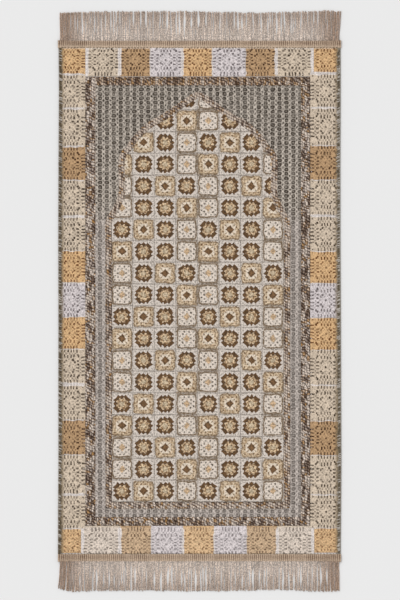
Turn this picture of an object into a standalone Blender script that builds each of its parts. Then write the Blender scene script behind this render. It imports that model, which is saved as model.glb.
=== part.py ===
"""Prayer rug: a flat woven panel with overlocked sides and a fringe trim on each end.

The rug lies on the surface z = 0 with its long side along Y and the arch's point towards +Y.
The origin is in the middle of the underside. All sizes are in metres.
"""

import math
import random

import bmesh
import bpy
from mathutils import Matrix

# ---- driving dimensions -------------------------------------------------------------------

PIECE_GAP = 0.0003            # clear gap between neighbouring pieces

CLOTH_THICKNESS = 0.0030
CLOTH_HALF_LENGTH = 0.6250    # the cloth runs on under both heading tapes

EDGE_WRAP = 0.0030            # how far a side edge stands outside the cloth's own side
EDGE_HALF_LENGTH = 0.6097     # the side edges stop just short of the tapes

TAPE_INNER_Y = 0.6100         # the heading tapes lie on the cloth from here outwards
TAPE_DEPTH = 0.0185
TAPE_HALF_WIDTH = 0.3425
TAPE_RIM_THICKNESS = 0.0020
TAPE_CROWN_THICKNESS = 0.0028
TAPE_SHOULDER = 0.0040        # run of the slope from a rim up to the crown
TAPE_FOLD_X = 0.3389          # from here outwards the tape's ends are turned down to the floor

STRANDS_PER_END = 130
STRAND_SPAN = 0.6710          # the strands' roots cover this much of the tape's outer face
STRAND_FILL = 0.77            # share of the strand pitch that a root takes
FRINGE_LENGTH = 0.0700
LOCK_SIZE = 3                 # neighbouring strands that lean together into one lock

BAND_HEIGHT = 0.0008          # how far the marled bands stand above the cloth
BAND_SINK = 0.0015            # how far a band's body reaches down into the cloth
NICHE_BAND_WIDTH = 0.0140
NICHE_CENTRE_X = -0.0036

# The rug's own left and right sides are not quite straight: outer faces at each height.
SIDE_SECTIONS = (
    # (y, left x, right x)
    (-0.6250, -0.3414, 0.3402),
    (-0.5160, -0.3411, 0.3410),
    (-0.3950, -0.3400, 0.3419),
    (-0.2150, -0.3402, 0.3412),
    (-0.0300, -0.3400, 0.3406),
    (0.1470, -0.3405, 0.3396),
    (0.3270, -0.3399, 0.3394),
    (0.5090, -0.3388, 0.3402),
    (0.6250, -0.3398, 0.3400),
)

# Section of a side edge, from its outer face (0) inwards (negative): a lip over the cloth's
# top and a bead beside it that rests on the floor.
EDGE_SECTION = (
    # (inward, z)
    (0.0000, 0.0012),
    (-0.0008, 0.0000),
    (-0.0027, 0.0000),
    (-0.0027, 0.0033),
    (-0.0068, 0.0033),
    (-0.0068, 0.0038),
    (-0.0050, 0.0044),
    (-0.0022, 0.0045),
    (-0.0006, 0.0037),
    (0.0000, 0.0024),
)

# The marled frame round the middle of the rug: outer and inner rectangle.
FRAME_OUTER = {"left": -0.2749, "right": 0.2665, "bottom": -0.5416, "top": 0.5401}
FRAME_INNER = {"left": -0.2508, "right": 0.2447, "bottom": -0.5208, "top": 0.5197}

# Half of the prayer niche's outline, from its point down to its foot, along the outer side
# of the marled band.
NICHE_SECTIONS = (
    # (half width, y)
    (0.0250, 0.4920),
    (0.0540, 0.4705),
    (0.0710, 0.4595),
    (0.0880, 0.4475),
    (0.1110, 0.4365),
    (0.1305, 0.4220),
    (0.1465, 0.4070),
    (0.1615, 0.3895),
    (0.1705, 0.3740),
    (0.1825, 0.3620),
    (0.1900, 0.3475),
    (0.1925, 0.3275),
    (0.1905, 0.2920),
    (0.1895, 0.2680),
    (0.1930, 0.2505),
    (0.1995, 0.2345),
    (0.2115, 0.2130),
    (0.2195, 0.2000),
    (0.2235, 0.1820),
    (0.2220, 0.1230),
)
NICHE_POINT_Y = 0.5060
NICHE_FOOT_Y = -0.5000

# How the fringe's ends run across the rug: extra reach of the tips and sideways lean.
FRINGE_TOP_RUN = (
    # (x, extra reach, lean)
    (-0.3360, -0.0022, -0.0010),
    (-0.2900, -0.0015, 0.0000),
    (-0.2200, 0.0006, 0.0000),
    (-0.0200, 0.0004, 0.0000),
    (0.1400, -0.0028, 0.0000),
    (0.2500, -0.0002, 0.0000),
    (0.3100, 0.0022, 0.0022),
    (0.3360, -0.0006, 0.0046),
)
FRINGE_BOTTOM_RUN = (
    # (x, extra reach, lean)
    (-0.3360, -0.0030, -0.0046),
    (-0.3050, 0.0030, -0.0012),
    (-0.2400, 0.0002, 0.0000),
    (0.0300, 0.0016, 0.0000),
    (0.1900, -0.0020, 0.0000),
    (0.2800, 0.0018, 0.0004),
    (0.3050, 0.0030, 0.0010),
    (0.3360, 0.0002, 0.0016),
)

# A strand's sections outward from the tape: it drops off the tape and then lies level.
STRAND_SECTIONS = (
    # (share of reach, fixed reach, underside z, height, width as a share of the root's)
    (0.0, 0.0050, 0.0016, 0.0021, 0.96),
    (0.0, 0.0115, 0.0000, 0.0020, 0.90),
    (1.0, 0.0000, 0.0000, 0.0013, 0.62),
)
STRAND_TOP_SHARE = 0.60       # width of a strand's top as a share of its underside

# ---- finishes -----------------------------------------------------------------------------

FINISHES = {
    # name: (red, green, blue, roughness)
    "woven_cloth": (0.62, 0.55, 0.46, 0.92),
    "edge_yarn": (0.17, 0.15, 0.11, 0.90),
    "fringe_yarn": (0.46, 0.39, 0.32, 0.88),
}


def make_material(name):
    """A plain Principled finish from the table."""
    red, green, blue, roughness = FINISHES[name]
    material = bpy.data.materials.new(name)
    material.use_nodes = True
    shader = material.node_tree.nodes["Principled BSDF"]
    shader.inputs["Base Color"].default_value = (red, green, blue, 1.0)
    shader.inputs["Roughness"].default_value = roughness
    shader.inputs["Metallic"].default_value = 0.0
    material.diffuse_color = (red, green, blue, 1.0)
    return material


def clear_scene():
    for old in list(bpy.data.objects):
        bpy.data.objects.remove(old, do_unlink=True)


def make_collection(name):
    collection = bpy.data.collections.new(name)
    bpy.context.scene.collection.children.link(collection)
    return collection


def finish_object(bm, name, collection, material=None):
    """Write a bmesh to a new object with its normals outward."""
    bmesh.ops.recalc_face_normals(bm, faces=bm.faces)
    mesh = bpy.data.meshes.new(name)
    bm.to_mesh(mesh)
    bm.free()
    if material is not None:
        mesh.materials.append(material)
    piece = bpy.data.objects.new(name, mesh)
    collection.objects.link(piece)
    return piece


def read_table(rows, at, column):
    """Value of a column of a table at a place along its first column, row to row in a line."""
    if at <= rows[0][0]:
        return rows[0][column]
    for low, high in zip(rows, rows[1:]):
        if at <= high[0]:
            share = (at - low[0]) / (high[0] - low[0])
            return low[column] + share * (high[column] - low[column])
    return rows[-1][column]


def pull_faces(bm, faces, offset, keep_base=False):
    """Extrude a patch of faces and move it. Returns its new vertices and its new faces."""
    made = bmesh.ops.extrude_face_region(bm, geom=faces)
    verts = [item for item in made["geom"] if isinstance(item, bmesh.types.BMVert)]
    front = [item for item in made["geom"] if isinstance(item, bmesh.types.BMFace)]
    if not keep_base:
        bmesh.ops.delete(bm, geom=faces, context="FACES")
    bmesh.ops.translate(bm, verts=verts, vec=offset)
    return verts, front


# ---- the cloth ----------------------------------------------------------------------------

def make_cloth(collection, cutters, material):
    """The panel: a flat sheet with the rug's outline, its marled bands standing a little proud."""
    rows = len(SIDE_SECTIONS) - 1
    bm = bmesh.new()
    bmesh.ops.create_grid(bm, x_segments=1, y_segments=rows, size=1.0)
    for vert in bm.verts:
        section = SIDE_SECTIONS[round((vert.co.y + 1.0) / 2.0 * rows)]
        if vert.co.x < 0.0:
            x = section[1] + EDGE_WRAP
        else:
            x = section[2] - EDGE_WRAP
        vert.co = (x, section[0], 0.0)
    cloth = finish_object(bm, "rug_cloth", collection, material)
    body = cloth.modifiers.new("thickness", "SOLIDIFY")
    body.thickness = CLOTH_THICKNESS
    body.offset = 1.0
    for band in (make_frame_band(cutters), make_niche_band(cutters)):
        raised = cloth.modifiers.new("raise " + band.name, "BOOLEAN")
        raised.operation = "UNION"
        raised.solver = "EXACT"
        raised.object = band
    return cloth


def raise_ring(bm, ring_faces, name, cutters):
    """Thicken a flat ring from inside the cloth to just above it, and set it aside as a guide."""
    others = [face for face in bm.faces if face not in ring_faces]
    bmesh.ops.delete(bm, geom=others, context="FACES")
    low = CLOTH_THICKNESS - BAND_SINK
    bmesh.ops.translate(bm, verts=bm.verts, vec=(0.0, 0.0, low))
    pull_faces(bm, list(bm.faces), (0.0, 0.0, BAND_SINK + BAND_HEIGHT), keep_base=True)
    band = finish_object(bm, name, cutters)
    band.hide_render = True
    band.display_type = "WIRE"
    return band


def make_frame_band(cutters):
    """The rectangular marled frame."""
    bm = bmesh.new()
    bmesh.ops.create_grid(bm, x_segments=3, y_segments=3, size=1.0)
    columns = (FRAME_OUTER["left"], FRAME_INNER["left"], FRAME_INNER["right"], FRAME_OUTER["right"])
    rows = (FRAME_OUTER["bottom"], FRAME_INNER["bottom"], FRAME_INNER["top"], FRAME_OUTER["top"])
    for vert in bm.verts:
        column = round((vert.co.x + 1.0) * 1.5)
        row = round((vert.co.y + 1.0) * 1.5)
        vert.co = (columns[column], rows[row], 0.0)
    middle = min(bm.faces, key=lambda face: face.calc_center_median().length)
    ring = [face for face in bm.faces if face is not middle]
    return raise_ring(bm, ring, "frame_band", cutters)


def make_niche_band(cutters):
    """The marled band round the prayer niche, as wide all the way."""
    right = [(half, y) for half, y in NICHE_SECTIONS]
    right.append((NICHE_SECTIONS[-1][0], NICHE_FOOT_Y))
    left = [(-half, y) for half, y in reversed(right)]
    outline = [(0.0, NICHE_POINT_Y)] + right + left
    bm = bmesh.new()
    bmesh.ops.create_circle(bm, cap_ends=True, segments=len(outline), radius=1.0)
    bm.verts.ensure_lookup_table()
    for vert, (x, y) in zip(bm.verts, outline):
        vert.co = (NICHE_CENTRE_X + x, y, 0.0)
    bm.normal_update()
    made = bmesh.ops.inset_region(
        bm,
        faces=list(bm.faces),
        thickness=NICHE_BAND_WIDTH,
        use_boundary=True,
        use_even_offset=True,
    )
    return raise_ring(bm, made["faces"], "niche_band", cutters)


# ---- the side edges -----------------------------------------------------------------------

def make_side_edge(name, side, collection, material):
    """The overlocked edge: one section carried along the rug's side from row to row."""
    column = 2 if side > 0.0 else 1
    rows = [row for row in SIDE_SECTIONS if abs(row[0]) < EDGE_HALF_LENGTH]
    stations = [-EDGE_HALF_LENGTH] + [row[0] for row in rows] + [EDGE_HALF_LENGTH]
    bm = bmesh.new()
    bmesh.ops.create_circle(bm, cap_ends=True, segments=len(EDGE_SECTION), radius=1.0)
    bm.verts.ensure_lookup_table()
    outer = read_table(SIDE_SECTIONS, stations[0], column)
    for vert, (inward, z) in zip(bm.verts, EDGE_SECTION):
        vert.co = (outer + side * inward, stations[0], z)
    front = list(bm.faces)
    for before, after in zip(stations, stations[1:]):
        shift = read_table(SIDE_SECTIONS, after, column) - read_table(SIDE_SECTIONS, before, column)
        is_start = before == stations[0]
        front = pull_faces(bm, front, (shift, after - before, 0.0), keep_base=is_start)[1]
    return finish_object(bm, name, collection, material)


# ---- the fringe ---------------------------------------------------------------------------

def tape_columns():
    """Where the tape's outer face is split: root, gap, root, gap ... between its two ends."""
    pitch = STRAND_SPAN / STRANDS_PER_END
    root = pitch * STRAND_FILL
    columns = [-TAPE_HALF_WIDTH]
    for index in range(STRANDS_PER_END):
        middle = -STRAND_SPAN / 2.0 + pitch * (index + 0.5)
        columns.append(middle - root / 2.0)
        columns.append(middle + root / 2.0)
    columns.append(TAPE_HALF_WIDTH)
    return columns


def make_tape(bm):
    """The heading tape's body. Returns the faces from which the strands grow, left to right."""
    columns = tape_columns()
    bottom = CLOTH_THICKNESS + PIECE_GAP
    outer_y = TAPE_INNER_Y + TAPE_DEPTH
    count = len(columns) - 1
    made = bmesh.ops.create_grid(
        bm, x_segments=count, y_segments=1, size=1.0, matrix=Matrix.Rotation(math.pi / 2.0, 4, "X")
    )
    for vert in made["verts"]:
        column = round((vert.co.x + 1.0) / 2.0 * count)
        z = bottom + (TAPE_RIM_THICKNESS if vert.co.z > 0.0 else 0.0)
        vert.co = (columns[column], outer_y, z)
    steps = (
        # (move inwards, change of the top's height)
        (TAPE_SHOULDER, TAPE_CROWN_THICKNESS - TAPE_RIM_THICKNESS),
        (TAPE_DEPTH - 2.0 * TAPE_SHOULDER, 0.0),
        (TAPE_SHOULDER, TAPE_RIM_THICKNESS - TAPE_CROWN_THICKNESS),
    )
    front = list(bm.faces)
    for inward, rise in steps:
        is_start = len(bm.faces) == count
        verts, front = pull_faces(bm, front, (0.0, -inward, 0.0), keep_base=is_start)
        tops = [vert for vert in verts if vert.co.z > bottom + TAPE_RIM_THICKNESS / 2.0]
        bmesh.ops.translate(bm, verts=tops, vec=(0.0, 0.0, rise))
    inner = [vert for vert in bm.verts if vert.co.y < outer_y - TAPE_SHOULDER / 2.0]
    inner_edges = [edge for edge in bm.edges if edge.verts[0] in inner or edge.verts[1] in inner]
    bmesh.ops.dissolve_limit(bm, angle_limit=math.radians(1.0), verts=inner, edges=inner_edges)
    fold_tape_ends(bm, outer_y)
    roots = [face for face in bm.faces if is_root(face, outer_y)]
    return sorted(roots, key=lambda face: face.calc_center_median().x)


def is_root(face, outer_y):
    """A strand grows from a face of the tape's outer side that is about one root wide."""
    if any(abs(vert.co.y - outer_y) > PIECE_GAP for vert in face.verts):
        return False
    width = max(vert.co.x for vert in face.verts) - min(vert.co.x for vert in face.verts)
    root = STRAND_SPAN / STRANDS_PER_END * STRAND_FILL
    return abs(width - root) < root * 0.05


def fold_tape_ends(bm, outer_y):
    """Turn each end of the tape down over the cloth's side, to the floor."""
    bottom = CLOTH_THICKNESS + PIECE_GAP
    for direction in (-1.0, 1.0):
        geometry = list(bm.verts) + list(bm.edges) + list(bm.faces)
        bmesh.ops.bisect_plane(
            bm, geom=geometry, plane_co=(direction * TAPE_FOLD_X, 0.0, 0.0), plane_no=(1.0, 0.0, 0.0)
        )
    for direction in (-1.0, 1.0):
        ends = []
        for face in bm.faces:
            flat = all(abs(vert.co.z - bottom) < PIECE_GAP / 3.0 for vert in face.verts)
            if flat and face.calc_center_median().x * direction > TAPE_FOLD_X:
                ends.append(face)
        pull_faces(bm, ends, (0.0, 0.0, -bottom))


def grow_strand(bm, root, index, run, chance):
    """One strand of the fringe, extruded from its root section by section."""
    left = min(vert.co.x for vert in root.verts)
    right = max(vert.co.x for vert in root.verts)
    middle = (left + right) / 2.0
    width = right - left
    start_y = root.verts[0].co.y
    reach = FRINGE_LENGTH + read_table(run, middle, 1) + chance.uniform(-0.0016, 0.0012)
    into_lock = (index % LOCK_SIZE - (LOCK_SIZE - 1) / 2.0) * -0.0009
    sideways = read_table(run, middle, 2) + into_lock + chance.uniform(-0.0005, 0.0005)
    face = root
    for share, fixed, underside, height, width_share in STRAND_SECTIONS:
        along = share * reach + fixed
        centre_x = middle + sideways * along / reach
        made = bmesh.ops.extrude_discrete_faces(bm, faces=[face])
        face = made["faces"][0]
        old_middle = face.calc_center_median()
        corners = []
        for vert in face.verts:
            turn = -1.0 if vert.co.x < old_middle.x else 1.0
            corners.append((vert, turn, vert.co.z > old_middle.z))
        for vert, turn, is_top in corners:
            half = width * width_share / 2.0
            z = underside
            if is_top:
                half *= STRAND_TOP_SHARE
                z += height
            vert.co = (centre_x + turn * half, start_y + along, z)


def make_fringe(name, side, run, seed, collection, material):
    """A heading tape with its strands. The bottom one is the same trim turned round."""
    chance = random.Random(seed)
    bm = bmesh.new()
    roots = make_tape(bm)
    for index, root in enumerate(roots):
        grow_strand(bm, root, index, run, chance)
    if side < 0.0:
        bmesh.ops.scale(bm, vec=(1.0, -1.0, 1.0), verts=bm.verts)
    return finish_object(bm, name, collection, material)


# ---- the rug ------------------------------------------------------------------------------

def main():
    clear_scene()
    rug = make_collection("prayer_rug")
    cutters = make_collection("prayer_rug_guides")
    cloth_finish = make_material("woven_cloth")
    edge_finish = make_material("edge_yarn")
    fringe_finish = make_material("fringe_yarn")
    make_cloth(rug, cutters, cloth_finish)
    make_side_edge("side_edge_left", -1.0, rug, edge_finish)
    make_side_edge("side_edge_right", 1.0, rug, edge_finish)
    make_fringe("fringe_top", 1.0, FRINGE_TOP_RUN, 11, rug, fringe_finish)
    make_fringe("fringe_bottom", -1.0, FRINGE_BOTTOM_RUN, 12, rug, fringe_finish)


main()
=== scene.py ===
"""Prayer rug: a border of patterned squares, a marled frame, an arched niche, fringed ends."""

import math

import bmesh
import bpy
import numpy as np
from bpy.props import FloatProperty, FloatVectorProperty, IntProperty, PointerProperty
from mathutils import Matrix, Vector


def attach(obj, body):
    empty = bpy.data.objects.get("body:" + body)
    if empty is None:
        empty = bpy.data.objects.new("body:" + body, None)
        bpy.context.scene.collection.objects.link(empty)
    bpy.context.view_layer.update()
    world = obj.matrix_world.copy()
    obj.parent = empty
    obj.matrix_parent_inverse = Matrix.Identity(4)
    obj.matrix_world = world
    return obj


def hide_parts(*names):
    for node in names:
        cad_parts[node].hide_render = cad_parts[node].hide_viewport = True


bl_info = {
    "name": "Prayer Rug",
    "version": (1, 0, 0),
    "blender": (4, 5, 0),
    "location": "View3D > Sidebar > Prayer Rug",
    "description": "Builds the woven face, side edges, headings and fringe of a prayer rug",
    "category": "Object",
}

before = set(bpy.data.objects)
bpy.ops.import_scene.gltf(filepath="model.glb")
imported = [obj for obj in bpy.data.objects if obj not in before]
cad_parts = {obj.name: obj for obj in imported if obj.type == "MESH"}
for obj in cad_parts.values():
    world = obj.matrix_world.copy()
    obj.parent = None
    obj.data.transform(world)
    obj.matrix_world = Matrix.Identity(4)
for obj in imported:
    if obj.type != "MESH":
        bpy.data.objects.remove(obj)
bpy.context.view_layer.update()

MM = 0.001
FULL_TURN = 2.0 * math.pi
CLOTH_TOP = 3.0 * MM          # the cloth solid's upper face
FACING_BASE = CLOTH_TOP + 0.1 * MM     # the relief of the squares and the ground rises from here
FACING_DEPTH = 0.6 * MM                # how far their underside lies below that
MARL_BASE = CLOTH_TOP + 0.95 * MM      # the same for the marled bands, which stand higher
MARL_DEPTH = 1.2 * MM
CLOTH_NODE = "rug_cloth"
EDGE_NODES = {-1.0: "side_edge_left", 1.0: "side_edge_right"}
FRINGE_NODES = {1.0: "fringe_top", -1.0: "fringe_bottom"}
SIDES = ((-1.0, "left"), (1.0, "right"))
ENDS = ((1.0, "top"), (-1.0, "bottom"))

# ---- the rug's layout ---------------------------------------------------------------------

HEADING_INNER = 0.6100        # the headings lie from here outwards, at both ends
HEADING_OUTER = 0.6285
HEADING_HALF_WIDTH = 0.3412

# The frame's outer and inner lines.
FRAME_OUTER = {"left": -0.2749, "right": 0.2665, "bottom": -0.5416, "top": 0.5401}
FRAME_INNER = {"left": -0.2508, "right": 0.2447, "bottom": -0.5208, "top": 0.5197}

YARNS = ("ochre", "beige", "tan", "lavender")
# Squares down the two sides, from the top: how long each is and the seam below it.
SIDE_SQUARES = (
    # (finish, left length, left seam, right length, right seam), in millimetres
    ("ochre", 61.5, 5.0, 58.0, 7.0),
    ("beige", 76.5, 5.0, 76.5, 5.0),
    ("beige", 87.5, 4.0, 87.5, 2.5),
    ("tan", 78.0, 3.0, 81.0, 2.0),
    ("beige", 82.5, 6.5, 82.0, 6.5),
    ("beige", 79.0, 2.0, 81.0, 2.5),
    ("ochre", 74.0, 3.0, 75.0, 1.5),
    ("lavender", 80.5, 1.5, 82.0, 1.0),
    ("ochre", 75.0, 2.0, 76.5, 1.5),
    ("beige", 80.5, 8.0, 82.0, 3.5),
    ("beige", 81.0, 2.5, 84.0, 1.5),
    ("tan", 81.0, 2.0, 81.5, 2.0),
    ("beige", 92.0, 6.0, 92.0, 3.5),
    ("beige", 78.5, 2.5, 78.0, 1.5),
    ("ochre", 57.0, 0.0, 58.0, 0.0),
)
# Squares along the two ends, from the left: how wide each is and the seam to its right.
END_SQUARES = (
    # (finish, top width, top seam, bottom width, bottom seam), in millimetres
    ("beige", 71.0, 8.5, 81.6, 8.5),
    ("tan", 68.0, 2.5, 70.5, 1.5),
    ("lavender", 73.0, 7.0, 73.5, 5.5),
    ("ochre", 67.0, 3.0, 70.5, 3.5),
    ("lavender", 78.5, 1.0, 76.0, 1.0),
    ("tan", 69.0, 8.0, 70.0, 7.0),
    ("beige", 79.0, 0.0, 78.0, 0.0),
)
END_START_X = {1.0: -0.2677, -1.0: -0.2780}
# Where the corner squares end and the end rows begin: at the left, at the right.
CORNER_X = {1.0: (-0.2749, 0.2756), -1.0: (-0.2857, 0.2766)}
# How far up and down the end rows reach beyond the frame's two sides.
CORNER_Y = {1.0: (0.5460, 0.5485), -1.0: (0.5493, 0.5478)}
END_REACH_Y = {1.0: (0.5414, 0.6110), -1.0: (-0.6095, -0.5416)}
END_MIDDLE_Y = {1.0: 0.5821, -1.0: -0.5857}
SIDE_REACH_X = {-1.0: (-0.3372, -0.2749), 1.0: (0.2665, 0.3372)}
SIDE_MIDDLE_X = {-1.0: -0.3135, 1.0: 0.3050}
SQUARE_HALF = 36.5 * MM       # half the size at which a border square's marks are laid out
SQUARE_SMALLEST = 1.8 * SQUARE_HALF     # a shorter corner square cuts its marks off outside
SIDE_STRETCH = 1.04           # the side squares' marks lie this much closer across

# The niche's squares.
CELL_WIDTH = 52.0 * MM
CELL_HEIGHT = 52.5 * MM
CELL_COLUMNS = 8
CELL_BLOCKS = (
    # (piece, its first row counted from the top, the first row of the next piece)
    ("niche_squares_top", 0, 7),
    ("niche_squares_middle", 7, 13),
    ("niche_squares_foot", 13, 19),
)
CELL_MIDDLE_X = -0.0048
CELL_TOP_Y = 0.4871           # middle of the topmost row
# Four by four repeat, from the top left: W white, B brown ring, D diamond.
CELL_CHART = ("WBDB", "WBBD", "BDBW", "DBBW")
CELL_KINDS = {"B": 0, "D": 1, "W": 2}

NICHE_CENTRE_X = -0.0036
NICHE_POINT_Y = 0.5060
NICHE_FOOT_Y = -0.5000
NICHE_BAND_WIDTH = 14.0 * MM
# Half of the niche band's outer line, from the point down.
NICHE_SECTIONS = (
    # (half width, y)
    (0.0250, 0.4920),
    (0.0540, 0.4705),
    (0.0710, 0.4595),
    (0.0880, 0.4475),
    (0.1110, 0.4365),
    (0.1305, 0.4220),
    (0.1465, 0.4070),
    (0.1615, 0.3895),
    (0.1705, 0.3740),
    (0.1825, 0.3620),
    (0.1900, 0.3475),
    (0.1925, 0.3275),
    (0.1905, 0.2920),
    (0.1895, 0.2680),
    (0.1930, 0.2505),
    (0.1995, 0.2345),
    (0.2115, 0.2130),
    (0.2195, 0.2000),
    (0.2235, 0.1820),
    (0.2220, 0.1230),
)

# The sides' outer faces are not quite straight.
SIDE_SECTIONS = (
    # (y, left x, right x)
    (-0.6250, -0.3414, 0.3402),
    (-0.5160, -0.3411, 0.3410),
    (-0.3950, -0.3400, 0.3419),
    (-0.2150, -0.3402, 0.3412),
    (-0.0300, -0.3400, 0.3406),
    (0.1470, -0.3405, 0.3396),
    (0.3270, -0.3399, 0.3394),
    (0.5090, -0.3388, 0.3402),
    (0.6250, -0.3398, 0.3400),
)

# How the fringe's tips run across the rug: extra reach and sideways lean.
FRINGE_RUNS = {
    # (x, extra reach, lean)
    1.0: (
        (-0.3360, -0.0022, -0.0010),
        (-0.2900, -0.0015, 0.0000),
        (-0.2200, 0.0006, 0.0000),
        (-0.0200, 0.0004, 0.0000),
        (0.1400, -0.0028, 0.0000),
        (0.2500, -0.0002, 0.0000),
        (0.3100, 0.0022, 0.0022),
        (0.3360, -0.0006, 0.0046),
    ),
    -1.0: (
        (-0.3360, -0.0030, -0.0046),
        (-0.3050, 0.0030, -0.0012),
        (-0.2400, 0.0002, 0.0000),
        (0.0300, 0.0016, 0.0000),
        (0.1900, -0.0020, 0.0000),
        (0.2800, 0.0018, 0.0004),
        (0.3050, 0.0030, 0.0010),
        (0.3360, 0.0002, 0.0016),
    ),
}
FRINGE_HALF_SPAN = 0.3368


def shade(red, green, blue):
    """A colour as seen on a screen, 0 to 255, turned into the linear colour of a shader."""
    linear = []
    for part in (red, green, blue):
        value = part / 255.0
        linear.append(value / 12.92 if value <= 0.04045 else ((value + 0.055) / 1.055) ** 2.4)
    return tuple(linear)


# ---- arithmetic that serves meshes and shaders alike --------------------------------------

NUMBER_STEPS = {
    "ADD": np.add,
    "SUBTRACT": np.subtract,
    "MULTIPLY": np.multiply,
    "DIVIDE": np.divide,
    "POWER": np.power,
    "ABSOLUTE": np.abs,
    "FLOOR": np.floor,
    "FRACT": lambda value: value - np.floor(value),
    "SINE": np.sin,
    "SQRT": np.sqrt,
    "MAXIMUM": np.maximum,
    "MINIMUM": np.minimum,
    "GREATER_THAN": lambda value, edge: (value > edge) * 1.0,
}


class Wire:
    """A number in a shader's node tree that can be added and multiplied like a plain one."""

    def __init__(self, tree, socket):
        self.tree = tree
        self.socket = socket

    def __add__(self, other):
        return calc("ADD", self, other)

    def __radd__(self, other):
        return calc("ADD", other, self)

    def __sub__(self, other):
        return calc("SUBTRACT", self, other)

    def __rsub__(self, other):
        return calc("SUBTRACT", other, self)

    def __mul__(self, other):
        return calc("MULTIPLY", self, other)

    def __truediv__(self, other):
        return calc("DIVIDE", self, other)


def feed(tree, socket, value):
    """Link a wire to a socket, or set the socket to a constant."""
    if isinstance(value, Wire):
        tree.links.new(value.socket, socket)
    else:
        socket.default_value = value


def calc(step, *values):
    """One step of arithmetic, on arrays of numbers or as a Math node."""
    wires = [value for value in values if isinstance(value, Wire)]
    if not wires:
        return NUMBER_STEPS[step](*values)
    tree = wires[0].tree
    node = tree.nodes.new("ShaderNodeMath")
    node.operation = step
    for socket, value in zip(node.inputs, values):
        feed(tree, socket, value)
    return Wire(tree, node.outputs[0])


def soft(value, low, high):
    """A soft step from 0 where value is at low to 1 where it is at high."""
    if not isinstance(value, Wire):
        share = np.clip((value - low) / (high - low), 0.0, 1.0)
        return share * share * (3.0 - 2.0 * share)
    node = value.tree.nodes.new("ShaderNodeMapRange")
    node.interpolation_type = "SMOOTHSTEP"
    feed(value.tree, node.inputs["Value"], value)
    node.inputs["From Min"].default_value = low
    node.inputs["From Max"].default_value = high
    return Wire(value.tree, node.outputs[0])


def away(value):
    """How far a value is from 0."""
    return calc("ABSOLUTE", value)


def off_beat(value, pitch, shift=0.0):
    """Distance to the nearest of the marks that lie a pitch apart, one of them at shift."""
    return away(calc("FRACT", value / pitch + (0.5 - shift / pitch)) - 0.5) * pitch


def larger(*values):
    """The largest of the values, point by point."""
    total = values[0]
    for value in values[1:]:
        total = calc("MAXIMUM", total, value)
    return total


def square_reach(a, b):
    """How far out a place is from the middle, counted in squares round it."""
    return larger(away(a), away(b))


# ---- patterns, in metres from the middle of what they fill --------------------------------

# Square rings of small holes round the middle of a border square.
HOLE_RINGS = (
    # (distance from the middle, half length, half width, pitch, shift, reach, strength), mm
    (35.0, 5.2, 1.65, 7.6, 3.8, 21.5, 1.00),
    (26.8, 2.0, 1.60, 7.6, 0.0, 17.5, 0.60),
    (20.8, 3.4, 1.85, 7.6, 3.8, 13.5, 1.00),
    (14.9, 1.7, 1.60, 7.6, 0.0, 5.0, 0.65),
    (9.4, 1.5, 1.60, 8.6, 4.3, 5.0, 0.60),
)
# Single holes, mirrored to all four corners of a border square.
HOLE_SPOTS = (
    # (across, up, radius, strength), mm
    (0.0, 0.0, 2.5, 1.00),
    (8.6, 12.6, 2.6, 1.00),
    (12.6, 8.6, 2.4, 1.00),
    (21.3, 24.6, 2.7, 1.00),
    (24.6, 21.0, 2.5, 1.00),
    (33.5, 33.5, 2.0, 0.80),
)
HOLE_BLUR = 0.55 * MM         # half of the way over which a hole's rim fades


def within(distance, reach):
    """1 inside the reach and 0 outside it, with the soft rim of a hole."""
    return soft(distance, reach + HOLE_BLUR, reach - HOLE_BLUR)


def mirrored_dots(a, b, spots):
    """Round dots in all four corners of a square; the spots are laid out like HOLE_SPOTS."""
    side = away(a)
    rise = away(b)
    marks = 0.0
    for right, top, radius, strength in spots:
        across = side - right * MM
        up = rise - top * MM
        spot = calc("SQRT", across * across + up * up)
        dot = within(spot, radius * MM)
        marks = larger(dot * strength, marks)
    return marks


def patch_holes(a, b):
    """Marks of a border square: rings of short radial holes and single round ones."""
    side = away(a)
    rise = away(b)
    far = larger(side, rise)
    along = a + (b - a) * calc("GREATER_THAN", side, rise)
    marks = mirrored_dots(a, b, HOLE_SPOTS)
    reach_of = away(along)
    for distance, half_length, half_width, pitch, shift, reach, strength in HOLE_RINGS:
        radial = away(far - distance * MM)
        beat = off_beat(along, pitch * MM, shift * MM)
        hole = within(radial, half_length * MM) * within(beat, half_width * MM)
        hole = hole * within(reach_of, reach * MM)
        marks = larger(marks, hole * strength)
    return marks


# Dots of the niche squares, laid out like HOLE_SPOTS.
RING_SPOTS = ((4.8, 4.8, 1.9, 0.80),)
CORNER_SPOTS = ((20.2, 20.2, 2.0, 0.45),)
DIAMOND_SPOTS = (
    (16.1, 5.3, 1.9, 1.00),
    (5.3, 16.1, 1.9, 1.00),
    (16.3, 16.3, 2.0, 0.95),
    (21.2, 0.0, 1.9, 0.85),
    (0.0, 21.2, 1.9, 0.85),
    (9.9, 9.9, 2.0, 0.80),
)
WHITE_SPOTS = (
    (9.9, 9.9, 2.4, 1.00),
    (16.8, 5.5, 2.1, 1.00),
    (5.5, 16.3, 2.1, 1.00),
    (9.9, 0.0, 2.3, 1.00),
    (6.3, 3.4, 1.5, 0.60),
    (0.4, 11.2, 1.6, 0.60),
    (16.6, 16.6, 2.0, 0.90),
)


def round_square(a, b, power=5.0):
    """Distance from the middle, as a square with round corners sees it; less power, rounder."""
    side = calc("POWER", away(a), power)
    rise = calc("POWER", away(b), power)
    return calc("POWER", side + rise, 1.0 / power)


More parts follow.
